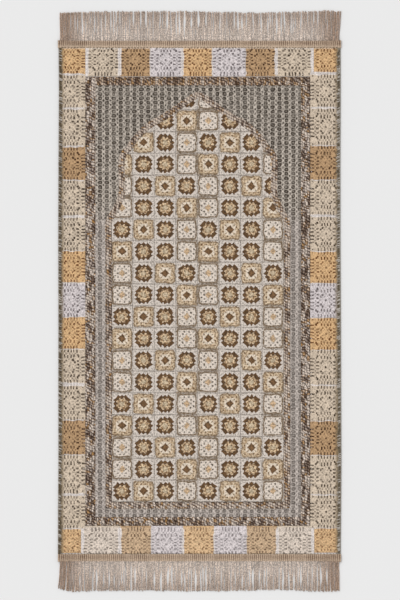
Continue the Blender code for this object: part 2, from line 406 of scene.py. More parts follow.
# Sizes of the small squares' patterns, in millimetres.
TOOTH_PITCH = 10.4            # from one tooth of the brown ring's rim to the next
RING_RIM = (22.3, 20.9)       # the brown ring begins here, from the outside
RING_CORE = (14.8, 13.2)      # and here it turns into its middle
RIM_TEETH = 4.2               # how deep the teeth are, outside and inside
CORE_TEETH = 3.2
DARK_DIAMOND = (11.3, 0.88)   # a diamond's tip, from its middle, and how hollow its sides are
DIAMOND_HEART = (5.0, 1.0)
TAN_DIAMOND = (9.6, 1.0)
TAN_DIAMOND_SLIM = 1.25       # how much narrower than tall this one is


def brown_ring(a, b):
    """The dark ring with its blunt teeth. Returns the ring and what is inside it."""
    side = away(a / MM)
    rise = away(b / MM)
    far = larger(side, rise)
    corner = side + rise
    along = calc("MINIMUM", calc("MINIMUM", side, rise), TOOTH_PITCH * 1.13)
    tooth = off_beat(along, TOOTH_PITCH)
    rim = larger(far, corner * 0.683) + soft(tooth, 0.4, 5.2) * RIM_TEETH
    core = larger(far, corner * 0.70) + soft(tooth, 3.6, 0.8) * CORE_TEETH
    inside = soft(core, *RING_CORE)
    ring = soft(rim, *RING_RIM) - inside
    return ring, inside


def star(a, b, tip, hollow):
    """A diamond whose sides are straight where hollow is 1, and cave in where it is less."""
    side = calc("POWER", away(a) / MM, hollow)
    rise = calc("POWER", away(b) / MM, hollow)
    reach = calc("POWER", side + rise, 1.0 / hollow)
    return soft(reach, tip + 0.8, tip - 0.8)


GROUND_COLUMN = 16.64 * MM    # pitch of the grey ground's chains
GROUND_ROW = 10.70 * MM       # pitch of its rings
GROUND_CHAIN_X = -0.2315      # one of the chains
GROUND_ROW_Y = 0.4991         # one of the rows of rings
RING_HALF_WIDTH = 5.3 * MM
RING_HALF_HEIGHT = 4.6 * MM


def ground_stitches(x, y):
    """The grey ground: dark rings in rows between light chains, and the dots on the chains."""
    chain = off_beat(x, GROUND_COLUMN, GROUND_CHAIN_X)
    across = (GROUND_COLUMN / 2.0 - chain) / RING_HALF_WIDTH
    up = off_beat(y, GROUND_ROW, GROUND_ROW_Y) / RING_HALF_HEIGHT
    reach = round_square(across, up, 2.6)
    block = soft(reach, 1.15, 0.80) - soft(reach, 0.62, 0.20) * 0.34
    between = off_beat(y, GROUND_ROW, GROUND_ROW_Y + GROUND_ROW / 2.0) / 1.5
    dot = soft(calc("SQRT", chain * chain + between * between), 2.5 * MM, 1.2 * MM)
    return block, dot


MARL_PITCH = 7.35 * MM        # stitches of the marled yarn, measured up the rug
MARL_SLOPE = 0.50             # how far a row of stitches falls for each step to the right
MARL_COLUMN = 5.9 * MM        # width of one column of stitches
MARL_RUN = 26.0 * MM          # about how long one colour runs up a column
END_BAR_BEAT = 18.6 * MM      # dark and pale columns take turns along the frame's end bars
END_BAR_SHADE = (0.5215, 0.5355)    # the end bars darken between these two heights


def marl_stitches(x, y):
    """The marled bands' slanting stitches: which column, which stitch, and its rounded top."""
    column = x / MARL_COLUMN
    number = calc("FLOOR", column)
    beat = (y + x * MARL_SLOPE) / MARL_PITCH
    stitch = calc("FLOOR", beat)
    across = (calc("FRACT", column) - 0.5) * 2.0
    up = (calc("FRACT", beat) - 0.5) * 2.0
    top = soft(calc("SQRT", across * across * 0.75 + up * up), 1.02, 0.36)
    return number, stitch, top


def wander(x, y, size, seed):
    """A smooth uneven value, about -1 to 1, whose swells are about size across."""
    chance = np.random.default_rng(seed)
    total = 0.0
    for turn in chance.uniform(0.0, FULL_TURN, 6):
        wave = FULL_TURN / (size * chance.uniform(0.7, 1.5))
        start = chance.uniform(0.0, FULL_TURN)
        total = total + np.sin((x * math.cos(turn) + y * math.sin(turn)) * wave + start)
    return total / 2.4


# ---- reliefs: how far the cloth's face stands above its base, in metres -------------------

def patch_relief(a, b):
    """A border square: a flat crown with rows of stitches round it, and the holes sunk in."""
    far = square_reach(a, b)
    crown = 1.0 - np.clip(far / (SQUARE_HALF * 1.04), 0.0, 1.0) ** 6
    stitches = 0.10 * np.sin(far / MM * FULL_TURN / 6.2)
    return (0.25 + 0.55 * crown + stitches - 0.42 * patch_holes(a, b)) * MM


def cell_crown(a, b):
    """The flat crown of a small square, in millimetres."""
    far = square_reach(a / CELL_WIDTH, b / CELL_HEIGHT) * 2.0
    return 0.20 + 0.40 * (1.0 - np.clip(far, 0.0, 1.0) ** 8)


def ring_cell_relief(a, b):
    ring, inside = brown_ring(a, b)
    dots = mirrored_dots(a, b, RING_SPOTS)
    return (cell_crown(a, b) + 0.35 * ring + 0.15 * inside - 0.30 * dots) * MM


def diamond_cell_relief(a, b):
    dots = mirrored_dots(a, b, DIAMOND_SPOTS)
    return (cell_crown(a, b) + 0.30 * star(a, b, *DARK_DIAMOND) - 0.30 * dots) * MM


def white_cell_relief(a, b):
    dots = mirrored_dots(a, b, WHITE_SPOTS)
    diamond = star(a * TAN_DIAMOND_SLIM, b, *TAN_DIAMOND)
    return (cell_crown(a, b) + 0.25 * diamond - 0.30 * dots) * MM


def ground_relief(x, y):
    block, dot = ground_stitches(x, y)
    return (0.75 - 0.45 * block - 0.30 * dot) * MM


def marl_relief(x, y):
    _, _, top = marl_stitches(x, y)
    return 0.45 * top * MM


# ---- meshes -------------------------------------------------------------------------------

STRAYS = ((0.80 * MM, 21.0 * MM), (0.40 * MM, 6.5 * MM))    # how far, over what distance


def strayed(a, b, x, y, seed, stray=1.0):
    """Pattern coordinates a and b of the places x and y, made as uneven as handwork."""
    for amount, size in STRAYS:
        a = a + stray * amount * wander(x, y, size, seed)
        b = b + stray * amount * wander(x, y, size, seed + 50)
    return a, b


def extrude_rim(bm):
    """Extrude a sheet's open rim where it lies, and return the new vertices."""
    rim = [edge for edge in bm.edges if edge.is_boundary]
    made = bmesh.ops.extrude_edge_only(bm, edges=rim)
    return [item for item in made["geom"] if isinstance(item, bmesh.types.BMVert)]


def mesh_from(bm, name):
    """Turn the bmesh into a mesh and free it."""
    mesh = bpy.data.meshes.new(name)
    bm.to_mesh(mesh)
    bm.free()
    return mesh


def vertex_places(mesh):
    """Where the mesh's vertices are, one row of x, y and z for each."""
    places = np.empty(len(mesh.vertices) * 3)
    mesh.vertices.foreach_get("co", places)
    return places.reshape(-1, 3)


class Facing:
    """Flat grids of cloth, gathered in one mesh, then lifted into the relief of their pattern."""

    def __init__(self):
        self.bm = bmesh.new()
        self.tile_of = self.bm.verts.layers.int.new("tile")
        self.tiles = []

    def add(
        self, low, high, step, kind,
        middle=(0.0, 0.0), stretch=(1.0, 1.0), keep=None, joins=(0.0, 0.0, 0.0, 0.0),
    ):
        """One grid from its low to its high corner, in the material and relief of its kind.

        Its pattern is laid out round middle and stretched; keep(x, y) says which faces stay;
        joins is a number for each of its sides, left, right, bottom and top.
        """
        width = high[0] - low[0]
        length = high[1] - low[1]
        place = Matrix.Translation(((low[0] + high[0]) / 2.0, (low[1] + high[1]) / 2.0, 0.0))
        made = bmesh.ops.create_grid(
            self.bm,
            x_segments=max(2, round(width / step)),
            y_segments=max(2, round(length / step)),
            size=0.5,
            matrix=place @ Matrix.Diagonal((width, length, 1.0, 1.0)),
        )
        faces = {face for vert in made["verts"] for face in vert.link_faces}
        for face in faces:
            face.material_index = kind
        for vert in made["verts"]:
            vert[self.tile_of] = len(self.tiles)
        if keep is not None:
            dropped = [face for face in faces if not keep(*face.calc_center_median().xy)]
            bmesh.ops.delete(self.bm, geom=dropped, context="FACES")
        self.tiles.append((kind, *middle, *stretch, *joins))

    def close(self, depth):
        """Give the sheet its edge and its underside."""
        low = extrude_rim(self.bm)
        bmesh.ops.translate(self.bm, verts=low, vec=(0.0, 0.0, -depth))
        for vert in low:
            vert[self.tile_of] = -1
        edges = [edge for edge in self.bm.edges if edge.is_boundary]
        bmesh.ops.holes_fill(self.bm, edges=edges, sides=0)
        bmesh.ops.recalc_face_normals(self.bm, faces=self.bm.faces)

    def finish(self, name, materials, reliefs, base, seed, depth=FACING_DEPTH, stray=1.0):
        """Close the mesh, lift its face and write the pattern's own coordinates as a UV map."""
        self.close(depth)
        mesh = mesh_from(self.bm, name)
        places = vertex_places(mesh)
        count = len(places)
        tile = np.empty(count, dtype=np.int32)
        mesh.attributes["tile"].data.foreach_get("value", tile)
        mesh.attributes.remove(mesh.attributes["tile"])
        rows = np.array(self.tiles)[np.maximum(tile, 0)]
        kinds, middles, stretches = rows[:, 0], rows[:, 1:3], rows[:, 3:5]
        left, right, bottom, top = rows[:, 5:].T
        x, y = places[:, 0], places[:, 1]
        a, b = ((places[:, :2] - middles) * stretches).T
        a, b = strayed(a, b, x, y, seed, stray)
        height = np.zeros(count)
        for kind, relief in enumerate(reliefs):
            chosen = kinds == kind
            if chosen.any():
                height[chosen] = relief(a[chosen], b[chosen])
        face = tile >= 0
        places[face, 2] = base + height[face]
        places[~face, 2] = base - depth
        mesh.vertices.foreach_set("co", places.ravel())
        write_uv(mesh, np.stack((a, b), axis=1))
        level = np.where(a < 0.0, left, right)
        upright = np.where(b < 0.0, bottom, top)
        write_number(mesh, "join", np.where(np.abs(a) > np.abs(b), level, upright))
        return place_piece(name, mesh, materials)


def write_uv(mesh, values):
    """One pair of pattern coordinates a vertex, as the UV map named design."""
    corners = np.empty(len(mesh.loops), dtype=np.int32)
    mesh.loops.foreach_get("vertex_index", corners)
    layer = mesh.uv_layers.new(name="design")
    layer.data.foreach_set("uv", values[corners].ravel())


def write_number(mesh, name, values):
    """One number a vertex, as the attribute of that name."""
    layer = mesh.attributes.new(name, "FLOAT", "POINT")
    layer.data.foreach_set("value", np.ascontiguousarray(values, dtype=np.float32))


def place_piece(name, mesh, materials):
    """Make the mesh a piece that rides on the rug's one body."""
    for material in materials:
        mesh.materials.append(material)
    mesh.shade_smooth()
    mesh.update()
    piece = bpy.data.objects.new(name, mesh)
    bpy.context.scene.collection.objects.link(piece)
    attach(piece, "root")
    return piece


def tube_blank(sides, stations):
    """A straight closed tube of radius 1 along Z, one ring a station, as a template."""
    bm = bmesh.new()
    bmesh.ops.create_circle(bm, cap_ends=True, segments=sides, radius=1.0)
    front = list(bm.faces)
    for station in range(1, stations):
        made = bmesh.ops.extrude_face_region(bm, geom=front)
        if station > 1:
            bmesh.ops.delete(bm, geom=front, context="FACES")
        verts = [item for item in made["geom"] if isinstance(item, bmesh.types.BMVert)]
        front = [item for item in made["geom"] if isinstance(item, bmesh.types.BMFace)]
        bmesh.ops.translate(bm, verts=verts, vec=(0.0, 0.0, 1.0))
    bmesh.ops.recalc_face_normals(bm, faces=bm.faces)
    return mesh_from(bm, "tube blank")


def along_paths(paths):
    """Sideways and upward directions, and the length run so far, at each path's stations."""
    forward = np.gradient(paths, axis=1)
    forward /= np.linalg.norm(forward, axis=2, keepdims=True)
    sideways = np.cross(np.array((0.0, 0.0, 1.0)), forward)
    sideways /= np.linalg.norm(sideways, axis=2, keepdims=True)
    upward = np.cross(forward, sideways)
    step = np.linalg.norm(np.diff(paths, axis=1), axis=2)
    run = np.concatenate((np.zeros((len(paths), 1)), np.cumsum(step, axis=1)), axis=1)
    return sideways, upward, run


def lay_tubes(name, paths, radii, tones, sides, materials, middles=None):
    """Many closed tubes in one mesh: paths is tubes x stations x 3, radii tubes x stations.

    The mesh carries each tube's tone, how far along it a vertex lies and, where the middle
    lines of the cords are given, how far out of its cord the vertex lies.
    """
    count, stations = radii.shape
    blank = bpy.data.objects.new("tube array", tube_blank(sides, stations))
    bpy.context.scene.collection.objects.link(blank)
    copies = blank.modifiers.new("copies", "ARRAY")
    copies.count = count
    copies.use_relative_offset = False
    copies.use_constant_offset = True
    copies.constant_offset_displace = (4.0, 0.0, 0.0)
    graph = bpy.context.evaluated_depsgraph_get()
    mesh = bpy.data.meshes.new_from_object(blank.evaluated_get(graph))
    mesh.name = name
    bpy.data.objects.remove(blank, do_unlink=True)
    first = vertex_places(mesh).reshape(count, -1, 3)[0]
    ring = first[:, :2]
    station = np.rint(first[:, 2]).astype(int)
    sideways, upward, run = along_paths(paths)
    thick = radii[:, station, None]
    places = paths[:, station] + thick * (
        ring[None, :, 0:1] * sideways[:, station] + ring[None, :, 1:2] * upward[:, station]
    )
    mesh.vertices.foreach_set("co", places.ravel())
    turn = np.arctan2(ring[:, 1], ring[:, 0]) / FULL_TURN
    around = np.broadcast_to(turn, (count, len(turn)))
    write_uv(mesh, np.stack((around, run[:, station]), axis=2).reshape(-1, 2))
    write_number(mesh, "tone", np.repeat(tones, places.shape[1]))
    share = run / run[:, -1:]
    write_number(mesh, "along", share[:, station].ravel())
    if middles is not None:
        out = np.linalg.norm(places - middles[:, station], axis=2)
        write_number(mesh, "crown", (out / out.max()).ravel())
    return place_piece(name, mesh, materials)


# ---- finishes -----------------------------------------------------------------------------

class Finish:
    """One material, with short ways to the nodes that the cloth's finishes share."""

    def __init__(self, name, roughness=0.92, sheen=0.10):
        self.material = bpy.data.materials.new(name)
        self.material.use_nodes = True
        self.tree = self.material.node_tree
        self.surface = self.tree.nodes["Principled BSDF"]
        self.surface.inputs["Roughness"].default_value = roughness
        self.surface.inputs["Specular IOR Level"].default_value = 0.20
        self.surface.inputs["Sheen Weight"].default_value = sheen
        self.surface.inputs["Sheen Roughness"].default_value = 0.6
        self.spot = self.node("TexCoord", "Object")

    def node(self, kind, output, setup=(), **inputs):
        """A node of that kind, set up and fed, as a wire from one of its outputs."""
        made = self.tree.nodes.new("ShaderNode" + kind)
        for name, value in setup:
            setattr(made, name, value)
        for name, value in inputs.items():
            feed(self.tree, made.inputs[name], value)
        return Wire(self.tree, made.outputs[output])

    def parts(self, vector):
        """The three numbers of a vector."""
        split = self.tree.nodes.new("ShaderNodeSeparateXYZ")
        feed(self.tree, split.inputs["Vector"], vector)
        return [Wire(self.tree, output) for output in split.outputs]

    def design(self):
        """The pattern coordinates that the mesh carries."""
        return self.parts(self.node("UVMap", "UV", (("uv_map", "design"),)))[:2]

    def place(self):
        """Where on the rug, in metres."""
        return self.parts(self.spot)

    def number(self, name):
        """The attribute of that name that the mesh carries."""
        return self.node("Attribute", "Fac", (("attribute_name", name),))

    def noise(self, size, detail=2.0):
        """Smooth noise, 0 to 1, whose grains are about size across."""
        return self.node("TexNoise", "Fac", Vector=self.spot, Scale=1.0 / size, Detail=detail)

    def mottle(self, size):
        """Noise with its lights and darks pulled apart, 0 to 1."""
        return soft(self.noise(size, 1.0), 0.34, 0.66)

    def runs(self, column, y, length):
        """The same up each column on its own, in runs about length long."""
        spot = self.node("CombineXYZ", "Vector", X=column * 7.31, Y=y / length)
        noise = self.node("TexNoise", "Fac", Vector=spot, Scale=1.0, Detail=1.0)
        return soft(noise, 0.34, 0.66)

    def pick(self, first, second):
        """A random number, 0 to 1, that is the same for the same pair of whole numbers."""
        pair = self.node("CombineXYZ", "Vector", X=first, Y=second)
        return self.node("TexWhiteNoise", "Value", (("noise_dimensions", "2D"),), Vector=pair)

    def mix(self, share, first, second):
        """From the first colour to the second."""
        node = self.tree.nodes.new("ShaderNodeMix")
        node.data_type = "RGBA"
        feed(self.tree, node.inputs[0], share)
        for socket, colour in ((node.inputs[6], first), (node.inputs[7], second)):
            feed(self.tree, socket, colour if isinstance(colour, Wire) else (*colour[:3], 1.0))
        return Wire(self.tree, node.outputs[2])

    def tinted(self, colour, tint):
        """A colour multiplied by another one."""
        return self.stepped("MULTIPLY", colour, 1, tint)

    def scaled(self, colour, amount):
        """A colour made lighter or darker."""
        return self.stepped("SCALE", colour, "Scale", amount)

    def stepped(self, step, colour, place, value):
        """A colour taken through one step of arithmetic."""
        node = self.tree.nodes.new("ShaderNodeVectorMath")
        node.operation = step
        feed(self.tree, node.inputs[0], colour if isinstance(colour, Wire) else colour[:3])
        feed(self.tree, node.inputs[place], value)
        return Wire(self.tree, node.outputs[0])

    def weave(self, pitch=1.3 * MM):
        """Height of a fine plain weave, 0 to 1, softened by fluff."""
        x, y, _ = self.place()
        turns = FULL_TURN / pitch
        threads = calc("SINE", x * turns) * calc("SINE", y * turns)
        return threads * 0.25 + self.noise(0.8 * MM, 3.0) * 0.8

    def done(self, colour, height, depth):
        """Set the colour and the fine relief."""
        feed(self.tree, self.surface.inputs["Base Color"], colour)
        bump = self.tree.nodes.new("ShaderNodeBump")
        bump.inputs["Strength"].default_value = 0.8
        bump.inputs["Distance"].default_value = depth
        feed(self.tree, bump.inputs["Height"], height)
        self.tree.links.new(bump.outputs["Normal"], self.surface.inputs["Normal"])
        return self.material


YARN_GRAIN = 2.9 * MM             # size of the flecks in a square's yarn
SEAM_LINE = (35.6 * MM, 37.6 * MM)    # a border square turns into its seam here, from its middle
SIDE_SHADOW = (0.3235, 0.3335)    # the cloth darkens towards its overlocked sides
TOP_LINE = (0.6068, 0.6086)       # the pale line under the top heading
FOOT_LINE = (-0.541, -0.549)      # the squares along the bottom end are faded
FOOT_CORNERS = (0.275, 0.280)     # and its corner squares less so


def patch_finish(settings, name, colour, fade_colour, hole_tint):
    """A border square in one yarn colour with its rings of holes, and the pale seam beside it."""
    finish = Finish("square " + name)
    a, b = finish.design()
    x, y, _ = finish.place()
    side = away(x)
    far = square_reach(a, b)
    seam = soft(far, *SEAM_LINE) * finish.number("join")
    at_foot = soft(y, *FOOT_LINE)
    holes = patch_holes(a, b) * (1.0 - seam * 0.80) * (1.0 - at_foot * 0.22)
    uneven = finish.mottle(8.0 * MM)
    faded = at_foot * (1.0 - soft(side, *FOOT_CORNERS) * 0.60)
    body = finish.mix(faded, colour, fade_colour)
    cloudy = finish.mottle(15.0 * MM)
    grain = finish.mottle(YARN_GRAIN)
    body = finish.mix(larger(seam, soft(y, *TOP_LINE) * 0.35), body, settings.seam_colour)
    body = finish.scaled(body, 0.77 + cloudy * 0.12 + grain * 0.45)
    # Painted shade in the holes: the yarn's own colour, darkened.
    marked = finish.mix(holes * (0.62 + uneven * 0.38), body, finish.tinted(body, hole_tint))
    marked = finish.mix(soft(side, *SIDE_SHADOW) * 0.82, marked, settings.side_shadow_colour)
    return finish.done(marked, finish.weave() - holes * 0.8, 0.35 * MM)


def dotted(finish, colour, dots, dark):
    """Lay dots over a small square, some of them fainter."""
    cloudy = finish.mottle(9.0 * MM)
    return finish.mix(dots * (0.55 + cloudy * 0.45), colour, dark)


def ring_cell_finish(settings):
    """A niche square with the toothed brown ring."""
    finish = Finish("square with brown ring")
    a, b = finish.design()
    ring, inside = brown_ring(a, b)
    grain = finish.mottle(YARN_GRAIN)
    strokes = finish.mottle(4.0 * MM)
    far = square_reach(a, b)
    ground = finish.scaled(settings.join_colour, 0.86 + grain * 0.30)
    line = soft(far, 23.4 * MM, 25.6 * MM) * (0.14 + strokes * 0.58)
    spots = mirrored_dots(a, b, CORNER_SPOTS)
    specks = soft(finish.noise(3.4 * MM, 1.0), 0.57, 0.66) * 0.62
    ground = finish.mix(larger(line, spots, specks), ground, settings.hole_colour)
    middle = finish.mix(strokes, settings.ring_middle_dark, settings.ring_middle_light)
    hub = soft(round_square(a / MM, b / MM, 2.0), 8.4, 4.6)
    middle = finish.mix(hub * 0.55, middle, settings.hub_colour)
    dots = mirrored_dots(a, b, RING_SPOTS)
    middle = dotted(finish, middle, dots, settings.brown_colour)
    middle = finish.scaled(middle, 0.62 + grain * 0.44)
    cloudy = finish.mottle(9.0 * MM)
    brown = finish.scaled(settings.brown_colour, 0.52 + grain * 0.66 + cloudy * 0.25)
    colour = finish.mix(inside, ground, middle)
    colour = finish.mix(ring * 0.98, colour, brown)
    return finish.done(colour, finish.weave() - dots * 0.6, 0.35 * MM)


def join_cells(finish, settings, colour, a, b, outline_at, join_at, strength):
    """Lay the ragged outline, and the pale join outside it where that shows, over a square.

    Both places are in millimetres from the square's middle.
    """
    fine = finish.mottle(4.0 * MM)
    reach = round_square(a / MM, b / MM, 8.0)
    ragged = reach + (finish.noise(3.8 * MM, 1.0) - 0.5) * 4.2
    outline = soft(ragged, outline_at - 0.6, outline_at + 0.6)
    outline = outline * (strength + fine * (1.0 - strength))
    colour = finish.mix(outline, colour, settings.outline_colour)
    far = square_reach(a, b)
    line = soft(far, 24.0 * MM, 25.8 * MM) * (0.08 + fine * 0.58)
    ground = finish.mix(line, settings.join_colour, settings.hole_colour)
    merged = finish.number("join") * (0.35 + finish.mottle(5.5 * MM) * 0.60)
    beyond = soft(ragged, join_at - 0.4, join_at + 1.0) * (1.0 - merged)
    colour = finish.mix(beyond, colour, ground)
    return finish.scaled(colour, 0.78 + finish.mottle(YARN_GRAIN) * 0.38)


def diamond_cell_finish(settings):
    """A niche square with a tan border and a dark diamond."""
    finish = Finish("square with dark diamond")
    a, b = finish.design()
    grain = finish.mottle(YARN_GRAIN)
    fine = finish.mottle(4.6 * MM)
    tan = finish.mix(fine, settings.border_tan_dark, settings.border_tan_light)
    diagonal = away(away(a) - away(b))
    middle = soft(round_square(a / MM, b / MM), 14.8, 12.8)
    middle = middle * soft(diagonal, 0.4 * MM, 2.2 * MM)
    colour = finish.mix(middle, tan, settings.cream_colour)
    dots = mirrored_dots(a, b, DIAMOND_SPOTS)
    colour = dotted(finish, colour, dots, settings.brown_colour)
    colour = join_cells(finish, settings, colour, a, b, 21.6, 24.4, 0.42)
    heart = star(a, b, *DIAMOND_HEART)
    light = 0.40 + grain * 0.56 + fine * 0.42 + heart * 0.30
    core = finish.scaled(settings.diamond_colour, light)
    colour = finish.mix(star(a, b, *DARK_DIAMOND), colour, core)
    return finish.done(colour, finish.weave() - dots * 0.6, 0.35 * MM)


def white_cell_finish(settings):
    """A niche square in cream white with a small tan diamond."""
    finish = Finish("square with tan diamond")
    a, b = finish.design()
    fine = finish.mottle(4.6 * MM)
    tan = finish.scaled(settings.small_diamond_colour, 0.66 + fine * 0.60)
    diamond = star(a * TAN_DIAMOND_SLIM, b, *TAN_DIAMOND)
    colour = finish.mix(diamond, settings.white_colour, tan)
    dots = mirrored_dots(a, b, WHITE_SPOTS)
    colour = dotted(finish, colour, dots, settings.hole_colour)
    colour = join_cells(finish, settings, colour, a, b, 20.5, 24.0, 0.80)
    return finish.done(colour, finish.weave() - dots * 0.6, 0.35 * MM)


# Where the grey ground is paler, or darker with painted shade towards the top: from the first to
# the second value.
WORN_BESIDE = (0.186, 0.216)      # away from the niche's middle line
WORN_BELOW = (0.24, 0.17)         # and below the arch's shoulders
WORN_FOOT = (-0.496, -0.508)      # under the niche's foot
PAINTED_SHADE_ABOVE = (0.28, 0.50)


def ground_finish(settings):
    """The grey ground round the niche."""
    finish = Finish("grey ground")
    x, y = finish.design()
    block, dot = ground_stitches(x, y)
    column = calc("FLOOR", (x - GROUND_CHAIN_X) / GROUND_COLUMN)
    chance = finish.pick(column, 3.0)
    grain = finish.mottle(2.7 * MM)
    cloudy = finish.mottle(8.0 * MM)
    chain = off_beat(x, GROUND_COLUMN, GROUND_CHAIN_X)
    between = soft(chain, 1.6 * MM, 4.4 * MM)
    beside = away(x - NICHE_CENTRE_X)
    worn = soft(beside, *WORN_BESIDE) * soft(y, *WORN_BELOW) + soft(y, *WORN_FOOT)
    worn = calc("MINIMUM", worn, 1.0)
    dark = larger(block * (0.66 + cloudy * 0.30 + chance * 0.16), between * 0.36)
    dark = dark * (1.0 - worn * 0.22)
    marks = dot * (0.50 + cloudy * 0.50) * (1.0 - worn * 0.35)
    colour = finish.mix(worn, settings.ground_light, settings.ground_worn)
    colour = finish.mix(dark, colour, settings.ground_dark)
    colour = finish.mix(marks, colour, settings.ground_dark)
    # Painted shade: the grey ground darkens towards the top.
    colour = finish.scaled(colour, 0.66 + grain * 0.62 - soft(y, *PAINTED_SHADE_ABOVE) * 0.10)
    return finish.done(colour, finish.weave() - block * 0.4, 0.4 * MM)


def marl_finish(settings, name, paleness, gold=0.0, beat=None):
    """Marled yarn, knitted in columns: runs of dark brown, grey, golden or pale stitches.

    Gold says how much of the golden ply shows in single stitches. An end bar has a beat, where
    its dark and pale columns start and how strong they are, and it darkens outwards.
    """
    finish = Finish("marled yarn " + name)
    x, y = finish.design()
    column, stitch, top = marl_stitches(x, y)
    chance = finish.pick(stitch, column)
    run = finish.runs(column, y, MARL_RUN)
    grain = finish.mottle(2.4 * MM)
    value = run * 0.86 + chance * 0.28 - 0.07 + paleness
    light = 0.66 + grain * 0.66
    if beat is not None:
        start, strength = beat
        place_x, place_y, _ = finish.place()
        swell = calc("SINE", place_x * (FULL_TURN / END_BAR_BEAT) + start)
        value = value * 0.74 + 0.11 + swell * strength
        light = light * (1.10 - soft(away(place_y), *END_BAR_SHADE) * 0.16)
    colour = settings.marl_brown
    for low, high, next_colour in (
        (0.26, 0.32, settings.marl_grey),
        (0.48, 0.54, settings.marl_gold),
        (0.66, 0.72, settings.marl_pale_and_highlight),
    ):
        colour = finish.mix(soft(value, low, high), colour, next_colour)
    # Painted highlight on each stitch's rounded top, in the pale ply's colour.
    glint = finish.pick(column, stitch + 0.5) * (0.18 + value * 1.10)
    colour = finish.mix(glint * top * top, colour, settings.marl_pale_and_highlight)
    colour = finish.mix(chance * chance * gold, colour, settings.marl_gold)
    colour = finish.scaled(colour, light)
    # Painted shade in the hollows between the stitches, round each stitch's rounded top.
    colour = finish.mix((1.0 - top) * (1.0 - value * 0.30), colour, settings.marl_gap_shade)
    return finish.done(colour, finish.weave() + top * 0.8, 0.5 * MM)


FACE_HEIGHT = (0.8 * MM, 1.6 * MM)    # where the cloth's back ends and its face begins
SEAM_DASH_PITCH = 7.2 * MM
INSIDE_FRAME_X = (0.2720, 0.2700)     # from the niche's middle line: the cloth is dark in here
INSIDE_FRAME_Y = (0.5412, 0.5395)


def cloth_body_finish(settings):
    """The cloth itself: pale seams on its face, dark inside the frame, a plain beige back."""
    finish = Finish("cloth body")
    x, y, z = finish.place()
    grain = finish.noise(1.9 * MM, 2.0)
    dashes = soft(off_beat(x, SEAM_DASH_PITCH), 1.9 * MM, 1.0 * MM)
    dashes = dashes * soft(off_beat(y, SEAM_DASH_PITCH), 1.9 * MM, 1.0 * MM)
    seam = finish.mix(dashes * 0.30, settings.seam_colour, settings.hole_colour)
    inside = soft(away(x - NICHE_CENTRE_X), *INSIDE_FRAME_X)
    inside = inside * soft(away(y), *INSIDE_FRAME_Y)
    face = finish.mix(inside, seam, settings.ground_dark)
    edge = soft(away(x), *SIDE_SHADOW)
    face = finish.mix(edge * 0.55, face, settings.side_shadow_colour)
    colour = finish.mix(soft(z, *FACE_HEIGHT), settings.back_colour, face)
    colour = finish.scaled(colour, 0.82 + grain * 0.34)
    return finish.done(colour, finish.weave(1.6 * MM), 0.4 * MM)


# ---- the settings that a user would change ------------------------------------------------

def colour_setting(name, description, red, green, blue):
    return FloatVectorProperty(
        name=name, description=description, default=shade(red, green, blue), subtype="COLOR", size=3
    )


def length_setting(name, description, default):
    return FloatProperty(
        name=name, description=description, default=default, subtype="DISTANCE", unit="LENGTH"
    )


class ClothSettings(bpy.types.PropertyGroup):
    """Grid sizes and colours of the rug's face."""

    square_step: length_setting("Square grid", "Grid of the border squares", 1.95 * MM)
    marl_step: length_setting("Marl grid", "Grid of the marled bands", 1.6 * MM)
    cell_step: length_setting("Niche grid", "Grid of the niche squares", 2.25 * MM)
    ground_step: length_setting("Ground grid", "Grid of the grey ground", 2.1 * MM)
    ochre: colour_setting("Ochre", "Ochre border squares", 205, 168, 124)
    ochre_faded: colour_setting("Ochre, faded", "The same at the bottom end", 209, 176, 137)
    beige: colour_setting("Beige", "Beige border squares", 200, 183, 163)
    beige_faded: colour_setting("Beige, faded", "The same at the bottom end", 209, 195, 182)
    tan: colour_setting("Tan", "Tan border squares", 177, 144, 108)
    tan_faded: colour_setting("Tan, faded", "The same at the bottom end", 193, 165, 134)
    lavender: colour_setting("Lavender", "Pale lavender border squares", 204, 195, 195)
    seam_colour: colour_setting("Seam", "Pale yarn between the squares", 216, 207, 202)
    hole_colour: colour_setting("Holes", "Dark of the small holes", 84, 72, 58)
    side_shadow_colour: colour_setting("Side shadow", "Tint towards the sides", 118, 102, 76)
    join_colour: colour_setting("Join", "Pale ground between the brown rings", 212, 201, 191)
    cream_colour: colour_setting("Cream", "Middle of the diamond squares", 222, 207, 188)
    white_colour: colour_setting("White", "White squares of the niche", 219, 206, 193)
    brown_colour: colour_setting("Brown", "Dark rings and dots", 92, 64, 33)
    diamond_colour: colour_setting("Diamond", "Dark diamonds", 110, 82, 55)
    small_diamond_colour: colour_setting("Small diamond", "Tan diamonds", 192, 163, 130)
    outline_colour: colour_setting("Outline", "Taupe outline of the niche squares", 112, 92, 68)
    ring_middle_light: colour_setting("Tan, light", "Light of the rings' middles", 236, 209, 172)
    ring_middle_dark: colour_setting("Tan, dark", "Dark of the rings' middles", 140, 103, 64)
    hub_colour: colour_setting("Hub", "Middle of the brown rings' squares", 214, 200, 174)
    border_tan_light: colour_setting("Border, light", "Light of the diamond squares", 217, 196, 168)
    border_tan_dark: colour_setting("Border, dark", "Dark of the diamond squares", 168, 141, 110)
    ground_light: colour_setting("Ground, light", "Light chains of the grey ground", 193, 182, 170)
    ground_worn: colour_setting("Ground, paler", "Paler ground beside the niche", 192, 181, 173)
    ground_dark: colour_setting("Ground, dark", "Dark blocks of the grey ground", 58, 48, 37)
    # Painted shade: the near-black laid in the hollows between the marled yarn's stitches.
    marl_gap_shade: colour_setting("Marl, dark", "Between the stitches of the marled yarn", 46, 31, 22)
    marl_brown: colour_setting("Marl, brown", "Brown ply", 100, 76, 58)
    marl_gold: colour_setting("Marl, golden", "Golden ply", 166, 124, 72)
    marl_grey: colour_setting("Marl, grey", "Grey ply", 158, 141, 130)
    # The pale ply, also used for the painted highlight on the stitches' tops.
    marl_pale_and_highlight: colour_setting("Marl, pale", "Pale ply", 216, 200, 186)
    back_colour: colour_setting("Back", "The rug's plain back", 178, 163, 143)


